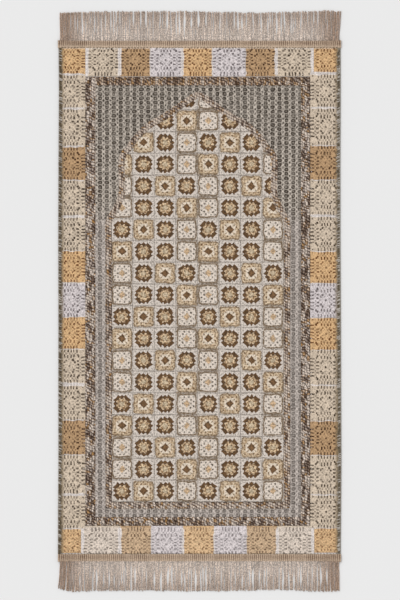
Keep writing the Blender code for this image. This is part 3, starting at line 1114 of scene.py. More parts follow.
class TrimSettings(bpy.types.PropertyGroup):
    """Side edges, headings and fringe."""

    stitch_pitch: length_setting("Overlock pitch", "From one stitch to the next", 2.4 * MM)
    stitch_radius: length_setting("Overlock yarn", "Half the thickness of the yarn", 0.85 * MM)
    rib_pitch: length_setting("Rib pitch", "From one rib of a heading to the next", 5.0 * MM)
    cords: IntProperty(
        name="Cords", description="Cords in one fringe", default=204, min=20, max=300
    )
    cord_stations: IntProperty(
        name="Cord stations", description="Cross sections along a cord", default=50, min=12, max=90
    )
    ply_radius: length_setting("Ply", "Half the thickness of one of a cord's two plies", 0.93 * MM)
    ply_offset: length_setting("Ply offset", "From a cord's middle to a ply's", 0.62 * MM)
    twist_pitch: length_setting("Twist", "Length of one full turn of a cord's twist", 6.8 * MM)
    fringe_length: length_setting("Fringe length", "From the heading to the tips", 70.0 * MM)
    edge_dark: colour_setting("Edge, dark", "Dark overlock yarn", 94, 80, 58)
    edge_light: colour_setting("Edge, light", "Light overlock yarn", 206, 198, 190)
    edge_core_light: colour_setting("Edge, inside", "Yarn inside the right edge", 132, 123, 108)
    # Dark yarn along the tape's middle, also the painted shade between its ribs.
    heading_dark_and_groove_shade: colour_setting("Heading, dark", "Between a heading's ribs", 92, 64, 44)
    heading_light: colour_setting("Heading, light", "Light rims of a heading", 208, 184, 160)
    thread: colour_setting("Thread", "Sewing thread along the headings", 96, 84, 60)
    fringe_root: colour_setting("Fringe, root", "Fringe by the heading", 231, 215, 202)
    fringe_tip: colour_setting("Fringe, tip", "Fringe at the tips", 198, 178, 163)
    fringe_corner: colour_setting("Fringe, corner", "Fringe at the rug's corners", 176, 147, 125)


class StageSettings(bpy.types.PropertyGroup):
    """Floor, lights and camera."""

    floor_colour: colour_setting("Floor", "Plain pale floor", 234, 234, 234)
    sky: FloatProperty(name="Sky", description="Strength of the even light", default=0.74)
    lamp_power: FloatProperty(name="Lamp", description="Power of the soft lamp", default=1.1)
    lens: FloatProperty(name="Lens", description="Camera lens in millimetres", default=200.0)
    seen_height: length_setting("Seen height", "Length of floor in the picture", 1.4468)


# ---- the woven face -----------------------------------------------------------------------

class RUG_OT_border_squares(bpy.types.Operator):
    """Make the squares round the border, one piece for each side and end"""

    bl_idname = "rug.border_squares"
    bl_label = "Border squares"

    def execute(self, context):
        settings = context.scene.rug_cloth
        yarns = (
            # (colour, colour along the bottom end, what the colour is multiplied by for the painted
            # shade in holes)
            (settings.ochre, settings.ochre_faded, (0.18, 0.08, 0.01)),
            (settings.beige, settings.beige_faded, (0.08, 0.06, 0.04)),
            (settings.tan, settings.tan_faded, (0.10, 0.05, 0.01)),
            (settings.lavender, settings.lavender, (0.20, 0.18, 0.18)),
        )
        materials = [patch_finish(settings, name, *yarn) for name, yarn in zip(YARNS, yarns)]
        for side, label in SIDES:
            facing = Facing()
            self.add_side(facing, side, settings.square_step)
            width = SIDE_REACH_X[side][1] - SIDE_REACH_X[side][0]
            flat = (width, 2.0 * HEADING_INNER)
            self.finish_border(facing, "border_" + label, materials, flat)
        for end, label in ENDS:
            facing = Facing()
            self.add_end(facing, end, settings.square_step)
            width = CORNER_X[end][1] - CORNER_X[end][0]
            low, high = END_REACH_Y[end]
            self.finish_border(facing, "border_" + label, materials, (width, high - low))
        return {"FINISHED"}

    def add_side(self, facing, side, step):
        """The column of squares down one side, each with half of the seams above and below it."""
        top = HEADING_INNER
        above = 0.0
        last = len(SIDE_SQUARES) - 1
        for index, (yarn, *lengths) in enumerate(SIDE_SQUARES):
            length, seam = lengths[:2] if side < 0.0 else lengths[2:]
            low = top - length * MM
            below = seam * MM / 2.0
            size = max(length * MM, SQUARE_SMALLEST)
            middle_y = low + size / 2.0 if index == 0 else top - size / 2.0
            left, right = SIDE_REACH_X[side]
            if index in (0, last):
                corners = CORNER_X[1.0 if index == 0 else -1.0]
                left, right = (left, corners[0]) if side < 0.0 else (corners[1], right)
            facing.add(
                (left, low - below),
                (right, top + above),
                step,
                YARNS.index(yarn),
                (SIDE_MIDDLE_X[side], middle_y),
                (SIDE_STRETCH, SQUARE_HALF * 2.0 / size),
                joins=(0.0, 0.0, 1.0, 1.0),
            )
            top = low - seam * MM
            above = below

    def add_end(self, facing, end, step):
        """The row of squares along one end, each with half of the seams beside it."""
        left = END_START_X[end]
        corner_left, corner_right = CORNER_X[end]
        before = left - corner_left
        low, high = END_REACH_Y[end]
        last = len(END_SQUARES) - 1

        def keep(x, y):
            """Only what lies beyond the frame, and beyond the corner squares beside it."""
            beyond = 0.0
            if x < FRAME_OUTER["left"]:
                beyond = CORNER_Y[end][0]
            if x > FRAME_OUTER["right"]:
                beyond = CORNER_Y[end][1]
            return abs(y) > beyond

        for index, (yarn, *widths) in enumerate(END_SQUARES):
            width, seam = widths[:2] if end > 0.0 else widths[2:]
            right = left + width * MM
            after = corner_right - right if index == last else seam * MM / 2.0
            facing.add(
                (left - before, low),
                (right + after, high),
                step,
                YARNS.index(yarn),
                ((left + right) / 2.0, END_MIDDLE_Y[end]),
                (SQUARE_HALF * 2.0 / (width * MM), 1.0),
                keep=keep,
                joins=(1.0, 1.0, 0.0, 0.0),
            )
            left = right + seam * MM
            before = seam * MM / 2.0

    def finish_border(self, facing, name, materials, flat):
        """Finish one side or end of the border; flat, its flat size, is not used."""
        reliefs = [patch_relief] * len(materials)
        piece = facing.finish(name, materials, reliefs, FACING_BASE, seed=3)


class RUG_OT_marled_frame(bpy.types.Operator):
    """Make the four bars of the marled frame"""

    bl_idname = "rug.marled_frame"
    bl_label = "Marled frame"

    def execute(self, context):
        settings = context.scene.rug_cloth
        of_sides = marl_finish(settings, "of the sides", 0.04)
        of_top = marl_finish(settings, "of the top", -0.03, 0.55, (-0.96, 0.20))
        of_foot = marl_finish(settings, "of the foot", 0.06, 0.05, (-1.15, 0.11))
        # The side bars run the whole way up, and the end bars lie between them.
        left, right = FRAME_INNER["left"], FRAME_INNER["right"]
        bottom, top = FRAME_OUTER["bottom"], FRAME_OUTER["top"]
        bars = (
            ("frame_left", (FRAME_OUTER["left"], bottom), (left, top), of_sides),
            ("frame_right", (right, bottom), (FRAME_OUTER["right"], top), of_sides),
            ("frame_bottom", (left, bottom), (right, FRAME_INNER["bottom"]), of_foot),
            ("frame_top", (left, FRAME_INNER["top"]), (right, top), of_top),
        )
        for name, low, high, marl in bars:
            facing = Facing()
            facing.add(low, high, settings.marl_step, 0)
            piece = facing.finish(
                name, [marl], [marl_relief], MARL_BASE, seed=5, depth=MARL_DEPTH, stray=1.7
            )
            flat = (high[0] - low[0], high[1] - low[1])
        return {"FINISHED"}


POINT_INSET = 1.7             # the niche's point comes down by this many insets
GROUND_INSET = NICHE_BAND_WIDTH * 0.35      # the ground ends under the band
CELLS_INSET = NICHE_BAND_WIDTH * 0.55       # and the niche's squares do


def niche_half_width(y):
    """Half the width of the niche, to its band's outer line, at a height or heights."""
    ys = [NICHE_POINT_Y] + [row[1] for row in NICHE_SECTIONS]
    halves = [0.0] + [row[0] for row in NICHE_SECTIONS]
    return np.interp(y, ys[::-1], halves[::-1])


def in_niche(x, y, inset):
    """Whether a point lies inside the band's outer line drawn in by inset."""
    if y < NICHE_FOOT_Y + inset or y > NICHE_POINT_Y - POINT_INSET * inset:
        return False
    slope = (niche_half_width(y - MM) - niche_half_width(y + MM)) / (2.0 * MM)
    return abs(x - NICHE_CENTRE_X) < niche_half_width(y) - inset * math.sqrt(1.0 + slope * slope)


GROUND_LAP = 0.4 * MM         # how far the ground runs on under the frame
GROUND_FILL = 0.8             # the share of its flat size that half of the ground fills


class RUG_OT_grey_ground(bpy.types.Operator):
    """Make the grey ground between the frame and the niche, in two halves"""

    bl_idname = "rug.grey_ground"
    bl_label = "Grey ground"

    def execute(self, context):
        settings = context.scene.rug_cloth
        grey = ground_finish(settings)
        halves = (
            ("ground_left", FRAME_INNER["left"], NICHE_CENTRE_X),
            ("ground_right", NICHE_CENTRE_X, FRAME_INNER["right"]),
        )
        for name, left, right in halves:
            facing = Facing()
            low = (left - GROUND_LAP, FRAME_INNER["bottom"] - GROUND_LAP)
            high = (right + GROUND_LAP, FRAME_INNER["top"] + GROUND_LAP)
            facing.add(low, high, settings.ground_step, 0, keep=self.outside_niche)
            area = sum(face.calc_area() for face in facing.bm.faces)
            piece = facing.finish(name, [grey], [ground_relief], FACING_BASE, seed=6)
            length = high[1] - low[1]
            flat = (area / length / GROUND_FILL, length)
        return {"FINISHED"}

    def outside_niche(self, x, y):
        return not in_niche(x, y, GROUND_INSET)


def cell_kind(row, column):
    """Which of the three kinds of small square stands in a row, from the top, and a column."""
    chart_row = CELL_CHART[row % len(CELL_CHART)]
    return CELL_KINDS[chart_row[column % len(chart_row)]]


class RUG_OT_niche_squares(bpy.types.Operator):
    """Make the small squares that fill the niche"""

    bl_idname = "rug.niche_squares"
    bl_label = "Niche squares"

    def execute(self, context):
        settings = context.scene.rug_cloth
        finishes = (ring_cell_finish, diamond_cell_finish, white_cell_finish)
        materials = [finish(settings) for finish in finishes]
        reliefs = [ring_cell_relief, diamond_cell_relief, white_cell_relief]
        for name, first, end in CELL_BLOCKS:
            facing = Facing()
            for row in range(first, end):
                for column in range(-1, CELL_COLUMNS + 1):
                    self.add_cell(facing, row, column, settings.cell_step)
            area = sum(face.calc_area() for face in facing.bm.faces)
            piece = facing.finish(name, materials, reliefs, FACING_BASE, seed=7)
            length = (end - first) * CELL_HEIGHT
            area / length
        return {"FINISHED"}

    def add_cell(self, facing, row, column, step):
        """One small square, cut along the niche's outline where it crosses it."""
        x = CELL_MIDDLE_X + (column - (CELL_COLUMNS - 1) / 2.0) * CELL_WIDTH
        y = CELL_TOP_Y - row * CELL_HEIGHT
        low = (x - CELL_WIDTH / 2.0, y - CELL_HEIGHT / 2.0)
        high = (x + CELL_WIDTH / 2.0, y + CELL_HEIGHT / 2.0)
        spots = [(px, py) for px in (low[0], x, high[0]) for py in (low[1], y, high[1])]
        shown = [self.inside_niche(*spot) for spot in spots]
        if not any(shown):
            return
        beside = ((row, column - 1), (row, column + 1), (row + 1, column), (row - 1, column))
        joins = [1.0 if cell_kind(*spot) > 0 else 0.0 for spot in beside]
        keep = None if all(shown) else self.inside_niche
        facing.add(low, high, step, cell_kind(row, column), (x, y), keep=keep, joins=joins)

    def inside_niche(self, x, y):
        return in_niche(x, y, CELLS_INSET)


def niche_line(spacing):
    """Points along the middle of the niche band, evenly spaced, once round from the point."""
    right = [(half, y) for half, y in NICHE_SECTIONS]
    right.append((NICHE_SECTIONS[-1][0], NICHE_FOOT_Y))
    corners = [(0.0, NICHE_POINT_Y)] + right + [(-half, y) for half, y in reversed(right)]
    corners = np.array(corners)
    before = corners - np.roll(corners, 1, axis=0)
    after = np.roll(corners, -1, axis=0) - corners
    before /= np.linalg.norm(before, axis=1, keepdims=True)
    after /= np.linalg.norm(after, axis=1, keepdims=True)
    inward_before = np.stack((before[:, 1], -before[:, 0]), axis=1)
    inward_after = np.stack((after[:, 1], -after[:, 0]), axis=1)
    mitre = inward_before + inward_after
    mitre /= (mitre * inward_before).sum(axis=1, keepdims=True)
    line = corners + mitre * NICHE_BAND_WIDTH / 2.0
    line[:, 0] += NICHE_CENTRE_X
    closed = np.vstack((line, line[:1]))
    run = np.concatenate(([0.0], np.cumsum(np.linalg.norm(np.diff(closed, axis=0), axis=1))))
    count = round(run[-1] / spacing)
    at = np.linspace(0.0, run[-1], count, endpoint=False)
    return np.stack((np.interp(at, run, closed[:, 0]), np.interp(at, run, closed[:, 1])), axis=1)


def smooth_loop(points, times):
    """A closed line's points, each drawn towards its neighbours that many times."""
    for _ in range(times):
        points = (np.roll(points, 1, axis=0) + 2.0 * points + np.roll(points, -1, axis=0)) / 4.0
    return points


BAND_LAP = 0.7 * MM           # how far the band reaches over the ground and the squares
BAND_ROWS = 10


class RUG_OT_niche_band(bpy.types.Operator):
    """Make the marled band that outlines the niche"""

    bl_idname = "rug.niche_band"
    bl_label = "Niche band"

    def execute(self, context):
        settings = context.scene.rug_cloth
        line = smooth_loop(niche_line(settings.marl_step), 3)
        half = NICHE_BAND_WIDTH / 2.0 + BAND_LAP
        mesh = mesh_from(self.ribbon(line, half), "niche_band")
        places = vertex_places(mesh)
        start_x, start_y = places[:, 0].copy(), places[:, 1].copy()
        x, y = strayed(start_x, start_y, start_x, start_y, seed=8)
        upper = places[:, 2] > CLOTH_TOP + 0.5 * MM
        places[:, 2] += np.where(upper, marl_relief(x, y), 0.0)
        mesh.vertices.foreach_set("co", places.ravel())
        write_uv(mesh, np.stack((x, y), axis=1))
        piece = place_piece("niche_band", mesh, [marl_finish(settings, "of the niche", 0.20, 0.24)])
        return {"FINISHED"}

    def ribbon(self, line, half):
        """A closed ribbon along the line: a grid whose ends meet, then its rim and underside."""
        forward = np.roll(line, -1, axis=0) - np.roll(line, 1, axis=0)
        forward /= np.linalg.norm(forward, axis=1, keepdims=True)
        inward = np.stack((forward[:, 1], -forward[:, 0]), axis=1)
        count = len(line)
        bm = bmesh.new()
        bmesh.ops.create_grid(bm, x_segments=count, y_segments=BAND_ROWS, size=1.0)
        for vert in bm.verts:
            station = round((vert.co.x + 1.0) / 2.0 * count) % count
            across = vert.co.y
            place = line[station] + inward[station] * across * half
            rise = (1.0 - abs(across) ** 6) * 0.25 * MM
            vert.co = (place[0], place[1], MARL_BASE + rise)
        bmesh.ops.remove_doubles(bm, verts=bm.verts, dist=0.01 * MM)
        low = extrude_rim(bm)
        bmesh.ops.translate(bm, verts=low, vec=(0.0, 0.0, -MARL_DEPTH))
        bmesh.ops.bridge_loops(bm, edges=[edge for edge in bm.edges if edge.is_boundary])
        bmesh.ops.recalc_face_normals(bm, faces=bm.faces)
        return bm


def refinish(node, material):
    """Give one of the frame's own solids a material in place of its plain one."""
    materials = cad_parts[node].data.materials
    materials.clear()
    materials.append(material)


class RUG_OT_cloth_body(bpy.types.Operator):
    """Give the cloth solid its finish: seams on its face and a plain back"""

    bl_idname = "rug.cloth_body"
    bl_label = "Cloth body"

    def execute(self, context):
        refinish(CLOTH_NODE, cloth_body_finish(context.scene.rug_cloth))
        return {"FINISHED"}


# ---- side edges ---------------------------------------------------------------------------

# The way of one overlock stitch round the cloth's edge.
OVERLOCK_PATH = (
    # (inward from the outer face, z, drift along the edge), in millimetres
    (8.2, 3.5, 0.0),
    (6.8, 4.3, 0.5),
    (4.8, 4.8, 1.2),
    (2.6, 4.9, 1.9),
    (1.1, 3.8, 2.4),
    (0.6, 2.3, 2.7),
    (1.0, 0.9, 2.9),
)


def side_x(side, y):
    """The outer face of a side edge, at a height or heights."""
    column = 2 if side > 0.0 else 1
    return np.interp(y, [row[0] for row in SIDE_SECTIONS], [row[column] for row in SIDE_SECTIONS])


def edge_yarn_finish(settings, name, light_share):
    """Overlock yarn, twisted, dark with lighter stitches; light_share lightens its outer run."""
    finish = Finish(name, roughness=0.88)
    turn, run = finish.design()
    tone = finish.number("tone")
    along = finish.number("along")
    twist = calc("SINE", run * (FULL_TURN / (2.2 * MM)) + turn * FULL_TURN) * 0.5 + 0.5
    light = soft(tone, 0.45, 0.82) * 1.15 + soft(along, 0.45, 0.80) * light_share
    inner = soft(along, 0.30, 0.0) * 0.30
    colour = finish.mix(light + inner, settings.edge_dark, settings.edge_light)
    colour = finish.scaled(colour, 0.66 + twist * 0.28 + finish.mottle(2.6 * MM) * 0.34)
    return finish.done(colour, twist + finish.noise(0.7 * MM), 0.3 * MM)


def plain_yarn_finish(name, colour):
    """Yarn in one colour, a little uneven."""
    finish = Finish(name, roughness=0.9)
    grain = finish.noise(1.6 * MM, 2.0)
    colour = finish.scaled(colour, 0.75 + grain * 0.45)
    return finish.done(colour, finish.weave(1.2 * MM), 0.3 * MM)


class RUG_OT_side_edges(bpy.types.Operator):
    """Wind overlock yarn round the rug's two sides"""

    bl_idname = "rug.side_edges"
    bl_label = "Side edges"

    def execute(self, context):
        settings = context.scene.rug_trim
        left_core = plain_yarn_finish("edge core left", settings.edge_dark)
        right_core = plain_yarn_finish("edge core right", settings.edge_core_light)
        sides = (
            # (side, name, share of light yarn, finish inside it, seed, how much further in)
            (-1.0, "left", 0.44, left_core, 21, 0.0),
            (1.0, "right", 0.45, right_core, 22, 0.9 * MM),
        )
        for side, label, light_share, core, seed, gap in sides:
            refinish(EDGE_NODES[side], core)
            paths, radii, tones = self.stitches(settings, side, np.random.default_rng(seed), gap)
            yarn = edge_yarn_finish(settings, "overlock yarn " + label, light_share)
            piece = lay_tubes("overlock_" + label, paths, radii, tones, 6, [yarn])
        return {"FINISHED"}

    def stitches(self, settings, side, chance, gap):
        """Where the stitches of one side run, how thick they are and how light."""
        count = round((2.0 * HEADING_INNER - 5.0 * MM) / settings.stitch_pitch)
        start = -HEADING_INNER + 0.6 * MM + np.arange(count) * settings.stitch_pitch
        start = start + chance.uniform(-0.25, 0.25, count) * MM
        path = np.array(OVERLOCK_PATH) * MM
        stations = len(path)
        paths = np.empty((count, stations, 3))
        paths[:, :, 1] = start[:, None] + path[None, :, 2]
        loose = chance.uniform(0.6, 1.2, (count, 1))
        inward = path[None, :, 0] * loose + gap
        paths[:, :, 0] = side_x(side, paths[:, :, 1]) - side * inward
        paths[:, :, 2] = path[None, :, 1]
        thick = settings.stitch_radius * chance.uniform(0.88, 1.12, (count, 1))
        pairs = np.repeat(chance.random(count), 2)[:count]
        tones = pairs * 0.30 + chance.random(count) * 0.70
        return paths, thick * np.ones((1, stations)), tones


# ---- headings -----------------------------------------------------------------------------

# The heading's height above the cloth, from its inner edge outwards.
HEADING_PROFILE = (
    # (share of its depth, height in mm)
    (0.00, 0.7),
    (0.04, 1.2),
    (0.12, 1.5),
    (0.18, 1.4),
    (0.28, 2.5),
    (0.52, 3.0),
    (0.76, 2.7),
    (0.90, 2.1),
    (0.96, 1.6),
    (1.00, 0.9),
)
HEADING_FOLD = 4.4 * MM       # how far each end is turned down
HEADING_ROWS = 13
RIBBED = (0.18, 0.92)         # the ribs begin and end at these shares of its depth
RIB_DEPTH = 0.70              # in mm
BOTTOM_SHIFT = 0.28           # the bottom heading is darkest this much nearer to the cloth
DARK_ENDS = (0.22, 0.32)      # a heading darkens towards its ends between these, in metres


def heading_finish(settings):
    """The ribbed tape at the fringe's head, darkest along its middle."""
    finish = Finish("heading tape", roughness=0.85)
    along, across = finish.design()
    beat = along / settings.rib_pitch + 0.5
    rib = off_beat(along, settings.rib_pitch) / settings.rib_pitch * 2.0
    chance = finish.pick(calc("FLOOR", beat), 7.0)
    grain = finish.mottle(2.6 * MM)
    cloudy = finish.mottle(30.0 * MM)
    ends = soft(away(along), *DARK_ENDS)
    groove = soft(rib, 0.30, 0.95)
    middle = soft(across, 0.10, 0.56) * (1.0 - soft(across, 0.66, 1.30) * 0.66)
    # The middle's darker yarn, and painted shade in the grooves between the ribs.
    dark = middle * 0.28 + groove * (0.18 + middle * 0.44)
    dark = dark + chance * 0.10 + ends * 0.12 - cloudy * 0.10
    colour = finish.mix(dark, settings.heading_light, settings.heading_dark_and_groove_shade)
    colour = finish.scaled(colour, 0.78 + grain * 0.38)
    return finish.done(colour, finish.weave(1.0 * MM) - groove * 0.6, 0.4 * MM)


SEWING_PITCH = 7.6 * MM
SEWING_LIFT = (0.9, 1.55, 1.75, 1.55, 0.9)      # a stitch's height above the cloth, in mm
SEWING_OFFSET = {1.0: 1.1 * MM, -1.0: -0.9 * MM}    # outwards from the tape's inner edge


class RUG_OT_headings(bpy.types.Operator):
    """Make the two ribbed heading tapes and the stitches that hold them"""

    bl_idname = "rug.headings"
    bl_label = "Headings"

    def execute(self, context):
        settings = context.scene.rug_trim
        tape = heading_finish(settings)
        thread = plain_yarn_finish("sewing thread", settings.thread)
        for end, label in ENDS:
            heading = self.make_tape(settings, end, label, tape)
            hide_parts(FRINGE_NODES[end])
            stitches = self.make_stitches(end, label, thread)
            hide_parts(FRINGE_NODES[end])
        return {"FINISHED"}

    def make_tape(self, settings, end, label, tape):
        """A grid over the tape's length and depth, closed underneath."""
        reach = HEADING_HALF_WIDTH + HEADING_FOLD
        shift = BOTTOM_SHIFT if end < 0.0 else 0.0
        columns = round(2.0 * reach / (settings.rib_pitch / 4.0))
        bm = bmesh.new()
        bmesh.ops.create_grid(bm, x_segments=columns, y_segments=HEADING_ROWS, size=1.0)
        uv = bm.loops.layers.uv.new("design")
        for face in bm.faces:
            for loop in face.loops:
                spot = loop.vert.co
                loop[uv].uv = (spot.x * reach, (spot.y + 1.0) / 2.0 + shift)
        for vert in bm.verts:
            along = vert.co.x * reach
            share = (vert.co.y + 1.0) / 2.0
            vert.co = self.tape_place(along, share, settings.rib_pitch)
        bottom = CLOTH_TOP + 0.3 * MM
        inside = HEADING_HALF_WIDTH - 3.2 * MM
        for vert in extrude_rim(bm):
            vert.co.z = min(vert.co.z, bottom)
            vert.co.x = max(-inside, min(inside, vert.co.x))
        bmesh.ops.holes_fill(bm, edges=[edge for edge in bm.edges if edge.is_boundary], sides=0)
        if end < 0.0:
            bmesh.ops.scale(bm, vec=(1.0, -1.0, 1.0), verts=bm.verts)
        bmesh.ops.recalc_face_normals(bm, faces=bm.faces)
        name = "heading_" + label
        piece = place_piece(name, mesh_from(bm, name), [tape])
        return piece

    def tape_place(self, along, share, rib_pitch):
        """Where a point of the tape lies: ribbed on top, its ends turned down to the floor."""
        shares, heights = zip(*HEADING_PROFILE)
        height = np.interp(share, shares, heights) * MM
        if RIBBED[0] < share < RIBBED[1]:
            rib = abs((along / rib_pitch) % 1.0 - 0.5) * 2.0
            height -= rib ** 2 * RIB_DEPTH * MM
        top = CLOTH_TOP + height
        turn = min(1.0, max(0.0, abs(along) - HEADING_HALF_WIDTH) / HEADING_FOLD)
        side = min(abs(along), HEADING_HALF_WIDTH) - 0.3 * MM
        bulge = 0.5 * MM * math.sin(math.pi * min(1.0, turn * 1.4))
        x = math.copysign(side, along) + math.copysign(bulge, along)
        y = HEADING_INNER + share * (HEADING_OUTER - HEADING_INNER)
        return (x, y, top + (0.25 * MM - top) * turn)

    def make_stitches(self, end, label, thread):
        """A row of sewing stitches along the tape's inner rim."""
        chance = np.random.default_rng(31 if end > 0.0 else 32)
        count = round((2.0 * HEADING_HALF_WIDTH - 14.0 * MM) / SEWING_PITCH)
        middle = (np.arange(count) - (count - 1) / 2.0) * SEWING_PITCH
        middle = middle + chance.uniform(-0.6, 0.6, count) * MM
        lift = np.array(SEWING_LIFT) * MM
        stations = len(lift)
        along = np.linspace(-1.9, 1.9, stations) * MM
        offset = SEWING_OFFSET[end] + chance.uniform(-0.4, 0.4, (count, 1)) * MM
        paths = np.empty((count, stations, 3))
        paths[:, :, 0] = middle[:, None] + along[None, :]
        paths[:, :, 1] = end * (HEADING_INNER + offset + along[None, :] * 0.10)
        paths[:, :, 2] = CLOTH_TOP + lift[None, :]
        radii = np.full((count, stations), 0.58 * MM)
        tones = chance.random(count)
        piece = lay_tubes("sewing_" + label, paths, radii, tones, 6, [thread])
        return piece


# ---- fringe -------------------------------------------------------------------------------

FRINGE_CORNER = (0.265, 0.330)    # the fringe darkens towards the rug's corners
STRAND_TWIST = 3.4 * MM           # length of one turn of the strands in a ply


def fringe_finish(settings):
    """Soft plied cord, pale by the heading, darker at the tips and at the rug's corners."""
    finish = Finish("fringe cord", roughness=0.80, sheen=0.15)
    turn, run = finish.design()
    x, _, _ = finish.place()
    tone = finish.number("tone")
    along = finish.number("along")
    wound = run * (FULL_TURN / STRAND_TWIST) - turn * (2.0 * FULL_TURN)
    strands = calc("SINE", wound) * 0.5 + 0.5
    colour = finish.mix(soft(along, 0.10, 1.0), settings.fringe_root, settings.fringe_tip)
    corner = soft(away(x), *FRINGE_CORNER)
    colour = finish.mix(corner * 0.90, colour, settings.fringe_corner)
    fluff = finish.mottle(2.8 * MM)
    # Painted shade and highlight: a ply is lighter on the cord's outer crown, darker where it meets
    # the other ply, and darker in the creases between its strands.
    crown = soft(finish.number("crown"), 0.15, 0.95)
    light = 0.18 + tone * 0.24 + crown * 0.50 + strands * 0.14
    root = 0.80 + soft(along, 0.0, 0.08) * 0.20
    colour = finish.scaled(colour, light * root * (0.70 + fluff * 0.86))
    return finish.done(colour, strands * 0.7 + finish.noise(0.7 * MM) * 0.6, 0.30 * MM)


LOCK_WIDTHS = (5.0, 7.0, 10.0, 12.0, 17.0)      # in mm
LOCK_CLOSINGS = (0.0, 0.2, 0.5, 0.7, 0.9)


def lock_leans(roots, chance, half_span):
    """How the cords part into uneven locks.

    Returns how far each cord is drawn aside, the share of its length at which that starts, and
    how much of it is taken back towards the tip.
    """
    edges = [-half_span]
    while edges[-1] < half_span:
        edges.append(edges[-1] + chance.choice(LOCK_WIDTHS) * MM)
    edges = np.array(edges)
    index = np.clip(np.searchsorted(edges, roots) - 1, 0, len(edges) - 2)
    centre = (edges[index] + edges[index + 1]) / 2.0
    half = (edges[index + 1] - edges[index]) / 2.0
    slit = chance.uniform(0.5, 3.5, len(edges))[index] * MM
    start = chance.uniform(0.05, 0.45, len(edges))[index]
    closing = chance.choice(LOCK_CLOSINGS, len(edges))[index]
    packed = soft(np.abs(roots), half_span - 10.0 * MM, half_span - 40.0 * MM)
    return (centre - roots) / half * slit * packed, start, closing


def twist_plies(paths, offset, pitch, starts):
    """Split each cord's line into the lines of its two plies, wound round each other."""
    sideways, upward, run = along_paths(paths)
    turn = (run / pitch * FULL_TURN + starts[:, None])[:, :, None]
    winding = offset * (np.cos(turn) * sideways + np.sin(turn) * upward)
    return np.concatenate((paths + winding, paths - winding), axis=0)


class RUG_OT_fringes(bpy.types.Operator):
    """Lay the plied cords of both fringes out on the floor"""

    bl_idname = "rug.fringes"
    bl_label = "Fringes"

    def execute(self, context):
        settings = context.scene.rug_trim
        cord = fringe_finish(settings)
        for end, label in ENDS:
            chance = np.random.default_rng(41 if end > 0.0 else 42)
            paths = self.cord_lines(settings, end, chance)
            count = len(paths)
            starts = chance.uniform(0.0, FULL_TURN, count)
            plies = twist_plies(paths, settings.ply_offset, settings.twist_pitch, starts)
            tones = chance.random(count)
            thick = settings.ply_radius * chance.uniform(0.92, 1.10, (2 * count, plies.shape[1]))
            thick[:, -1] *= 0.7
            tones = np.tile(tones, 2)
            middles = np.tile(paths, (2, 1, 1))
            name = "fringe_cords_" + label
            piece = lay_tubes(name, plies, thick, tones, 4, [cord], middles)
            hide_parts(FRINGE_NODES[end])
        return {"FINISHED"}

    def cord_lines(self, settings, end, chance):
        """The middle line of each cord: down from the heading to the floor, then out along it."""
        count = settings.cords
        over = np.arange(count) % 2
        pitch = 2.0 * FRINGE_HALF_SPAN / count
        roots = (np.arange(count) + 0.5) * pitch - FRINGE_HALF_SPAN
        roots = roots + chance.uniform(-0.45, 0.45, count) * MM
        run = np.array(FRINGE_RUNS[end])
        reach = settings.fringe_length + np.interp(roots, run[:, 0], run[:, 1])
        reach = reach + chance.uniform(-2.6, 0.8, count) * MM
        lean = np.interp(roots, run[:, 0], run[:, 2])
        lean = lean + chance.uniform(-0.5, 0.5, count) * MM
        drawn, opening, closing = lock_leans(roots, chance, FRINGE_HALF_SPAN)
        share = np.linspace(0.0, 1.0, settings.cord_stations)[None, :]
        wave = chance.uniform(0.7, 1.8, (count, 1))
        phase = chance.uniform(0.0, FULL_TURN, (count, 1))
        curl = chance.uniform(0.1, 0.6, (count, 1)) * MM
        sway = curl * np.sin(share * wave * FULL_TURN + phase) * soft(share, 0.05, 0.5)
        radius = settings.ply_radius * 1.1 + settings.ply_offset
        lying = radius + 0.05 * MM + over[:, None] * 1.1 * MM * soft(share, 0.2, 0.9)
        head = CLOTH_TOP + 1.3 * MM
        start = HEADING_OUTER - 2.2 * MM
        closed = closing[:, None] * soft(share, 0.64, 0.96)
        parted = soft(share - opening[:, None], 0.0, 0.35) * (1.0 - closed)
        leaning = lean[:, None] * share ** 1.2
        paths = np.empty((count, settings.cord_stations, 3))
        paths[:, :, 0] = roots[:, None] + leaning + drawn[:, None] * parted + sway
        paths[:, :, 1] = end * (start + (reach[:, None] + HEADING_OUTER - start) * share)
        paths[:, :, 2] = head + (lying - head) * soft(share, 0.03, 0.24)
        return paths


# ---- the stage ----------------------------------------------------------------------------

FLOOR_HALF = 6.0              # half the floor's size
LAMP_PLACE = (-1.5, 1.7, 2.6)
EYE_ABOVE = (0.0012, 0.0024)  # the camera hangs above this point


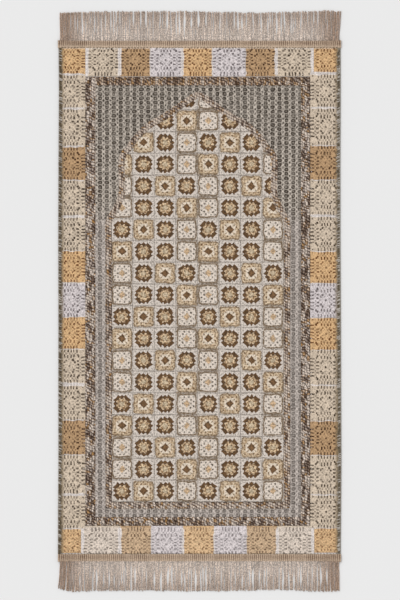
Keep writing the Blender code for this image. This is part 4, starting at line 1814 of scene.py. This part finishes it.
class RUG_OT_stage(bpy.types.Operator):
    """Lay a pale floor under the rug, light it softly and hang the camera above it"""

    bl_idname = "rug.stage"
    bl_label = "Stage"

    def execute(self, context):
        settings = context.scene.rug_stage
        scene = context.scene
        scene.view_settings.view_transform = "Standard"
        bm = bmesh.new()
        bmesh.ops.create_grid(bm, x_segments=1, y_segments=1, size=FLOOR_HALF)
        mesh = mesh_from(bm, "floor")
        paint = bpy.data.materials.new("floor paint")
        paint.use_nodes = True
        surface = paint.node_tree.nodes["Principled BSDF"]
        surface.inputs["Base Color"].default_value = (*settings.floor_colour, 1.0)
        surface.inputs["Roughness"].default_value = 1.0
        surface.inputs["Specular IOR Level"].default_value = 0.0
        mesh.materials.append(paint)
        floor = bpy.data.objects.new("floor", mesh)
        scene.collection.objects.link(floor)

        sky = bpy.data.worlds.new("soft sky")
        sky.use_nodes = True
        background = sky.node_tree.nodes["Background"]
        background.inputs["Color"].default_value = (1.0, 1.0, 1.0, 1.0)
        background.inputs["Strength"].default_value = settings.sky
        scene.world = sky

        lamp = bpy.data.lights.new("soft lamp", "SUN")
        lamp.angle = math.radians(35.0)
        lamp.energy = settings.lamp_power
        hung = bpy.data.objects.new("soft lamp", lamp)
        hung.location = LAMP_PLACE
        hung.rotation_euler = Vector(hung.location).to_track_quat("Z", "Y").to_euler()
        scene.collection.objects.link(hung)

        camera = bpy.data.cameras.new("camera")
        camera.lens = settings.lens
        camera.sensor_width = 36.0
        distance = settings.seen_height / 2.0 * camera.lens / (camera.sensor_width / 2.0)
        camera.clip_end = 100.0
        eye = bpy.data.objects.new("camera", camera)
        eye.location = (*EYE_ABOVE, distance)
        scene.collection.objects.link(eye)
        scene.camera = eye
        return {"FINISHED"}


class RUG_PT_panel(bpy.types.Panel):
    """Lists the rug's parts in the order in which they are built"""

    bl_idname = "RUG_PT_panel"
    bl_label = "Prayer Rug"
    bl_space_type = "VIEW_3D"
    bl_region_type = "UI"
    bl_category = "Prayer Rug"

    def draw(self, context):
        for step in BUILD_STEPS:
            self.layout.operator(step.bl_idname)
        for settings in (context.scene.rug_cloth, context.scene.rug_trim, context.scene.rug_stage):
            box = self.layout.box()
            for name in settings.bl_rna.properties.keys():
                if name not in ("rna_type", "name"):
                    box.prop(settings, name)


SETTINGS = {"rug_cloth": ClothSettings, "rug_trim": TrimSettings, "rug_stage": StageSettings}
BUILD_STEPS = (
    RUG_OT_stage,
    RUG_OT_cloth_body,
    RUG_OT_border_squares,
    RUG_OT_marled_frame,
    RUG_OT_grey_ground,
    RUG_OT_niche_squares,
    RUG_OT_niche_band,
    RUG_OT_side_edges,
    RUG_OT_headings,
    RUG_OT_fringes,
)


def register():
    for settings in SETTINGS.values():
        bpy.utils.register_class(settings)
    for step in (*BUILD_STEPS, RUG_PT_panel):
        bpy.utils.register_class(step)
    for name, settings in SETTINGS.items():
        setattr(bpy.types.Scene, name, PointerProperty(type=settings))


def unregister():
    for name in SETTINGS:
        delattr(bpy.types.Scene, name)
    for step in (RUG_PT_panel, *reversed(BUILD_STEPS)):
        bpy.utils.unregister_class(step)
    for settings in SETTINGS.values():
        bpy.utils.unregister_class(settings)


def main():
    register()
    bpy.ops.rug.stage()
    bpy.ops.rug.cloth_body()
    bpy.ops.rug.border_squares()
    bpy.ops.rug.marled_frame()
    bpy.ops.rug.grey_ground()
    bpy.ops.rug.niche_squares()
    bpy.ops.rug.niche_band()
    bpy.ops.rug.side_edges()
    bpy.ops.rug.headings()
    bpy.ops.rug.fringes()


if __name__ == "__main__":
    main()
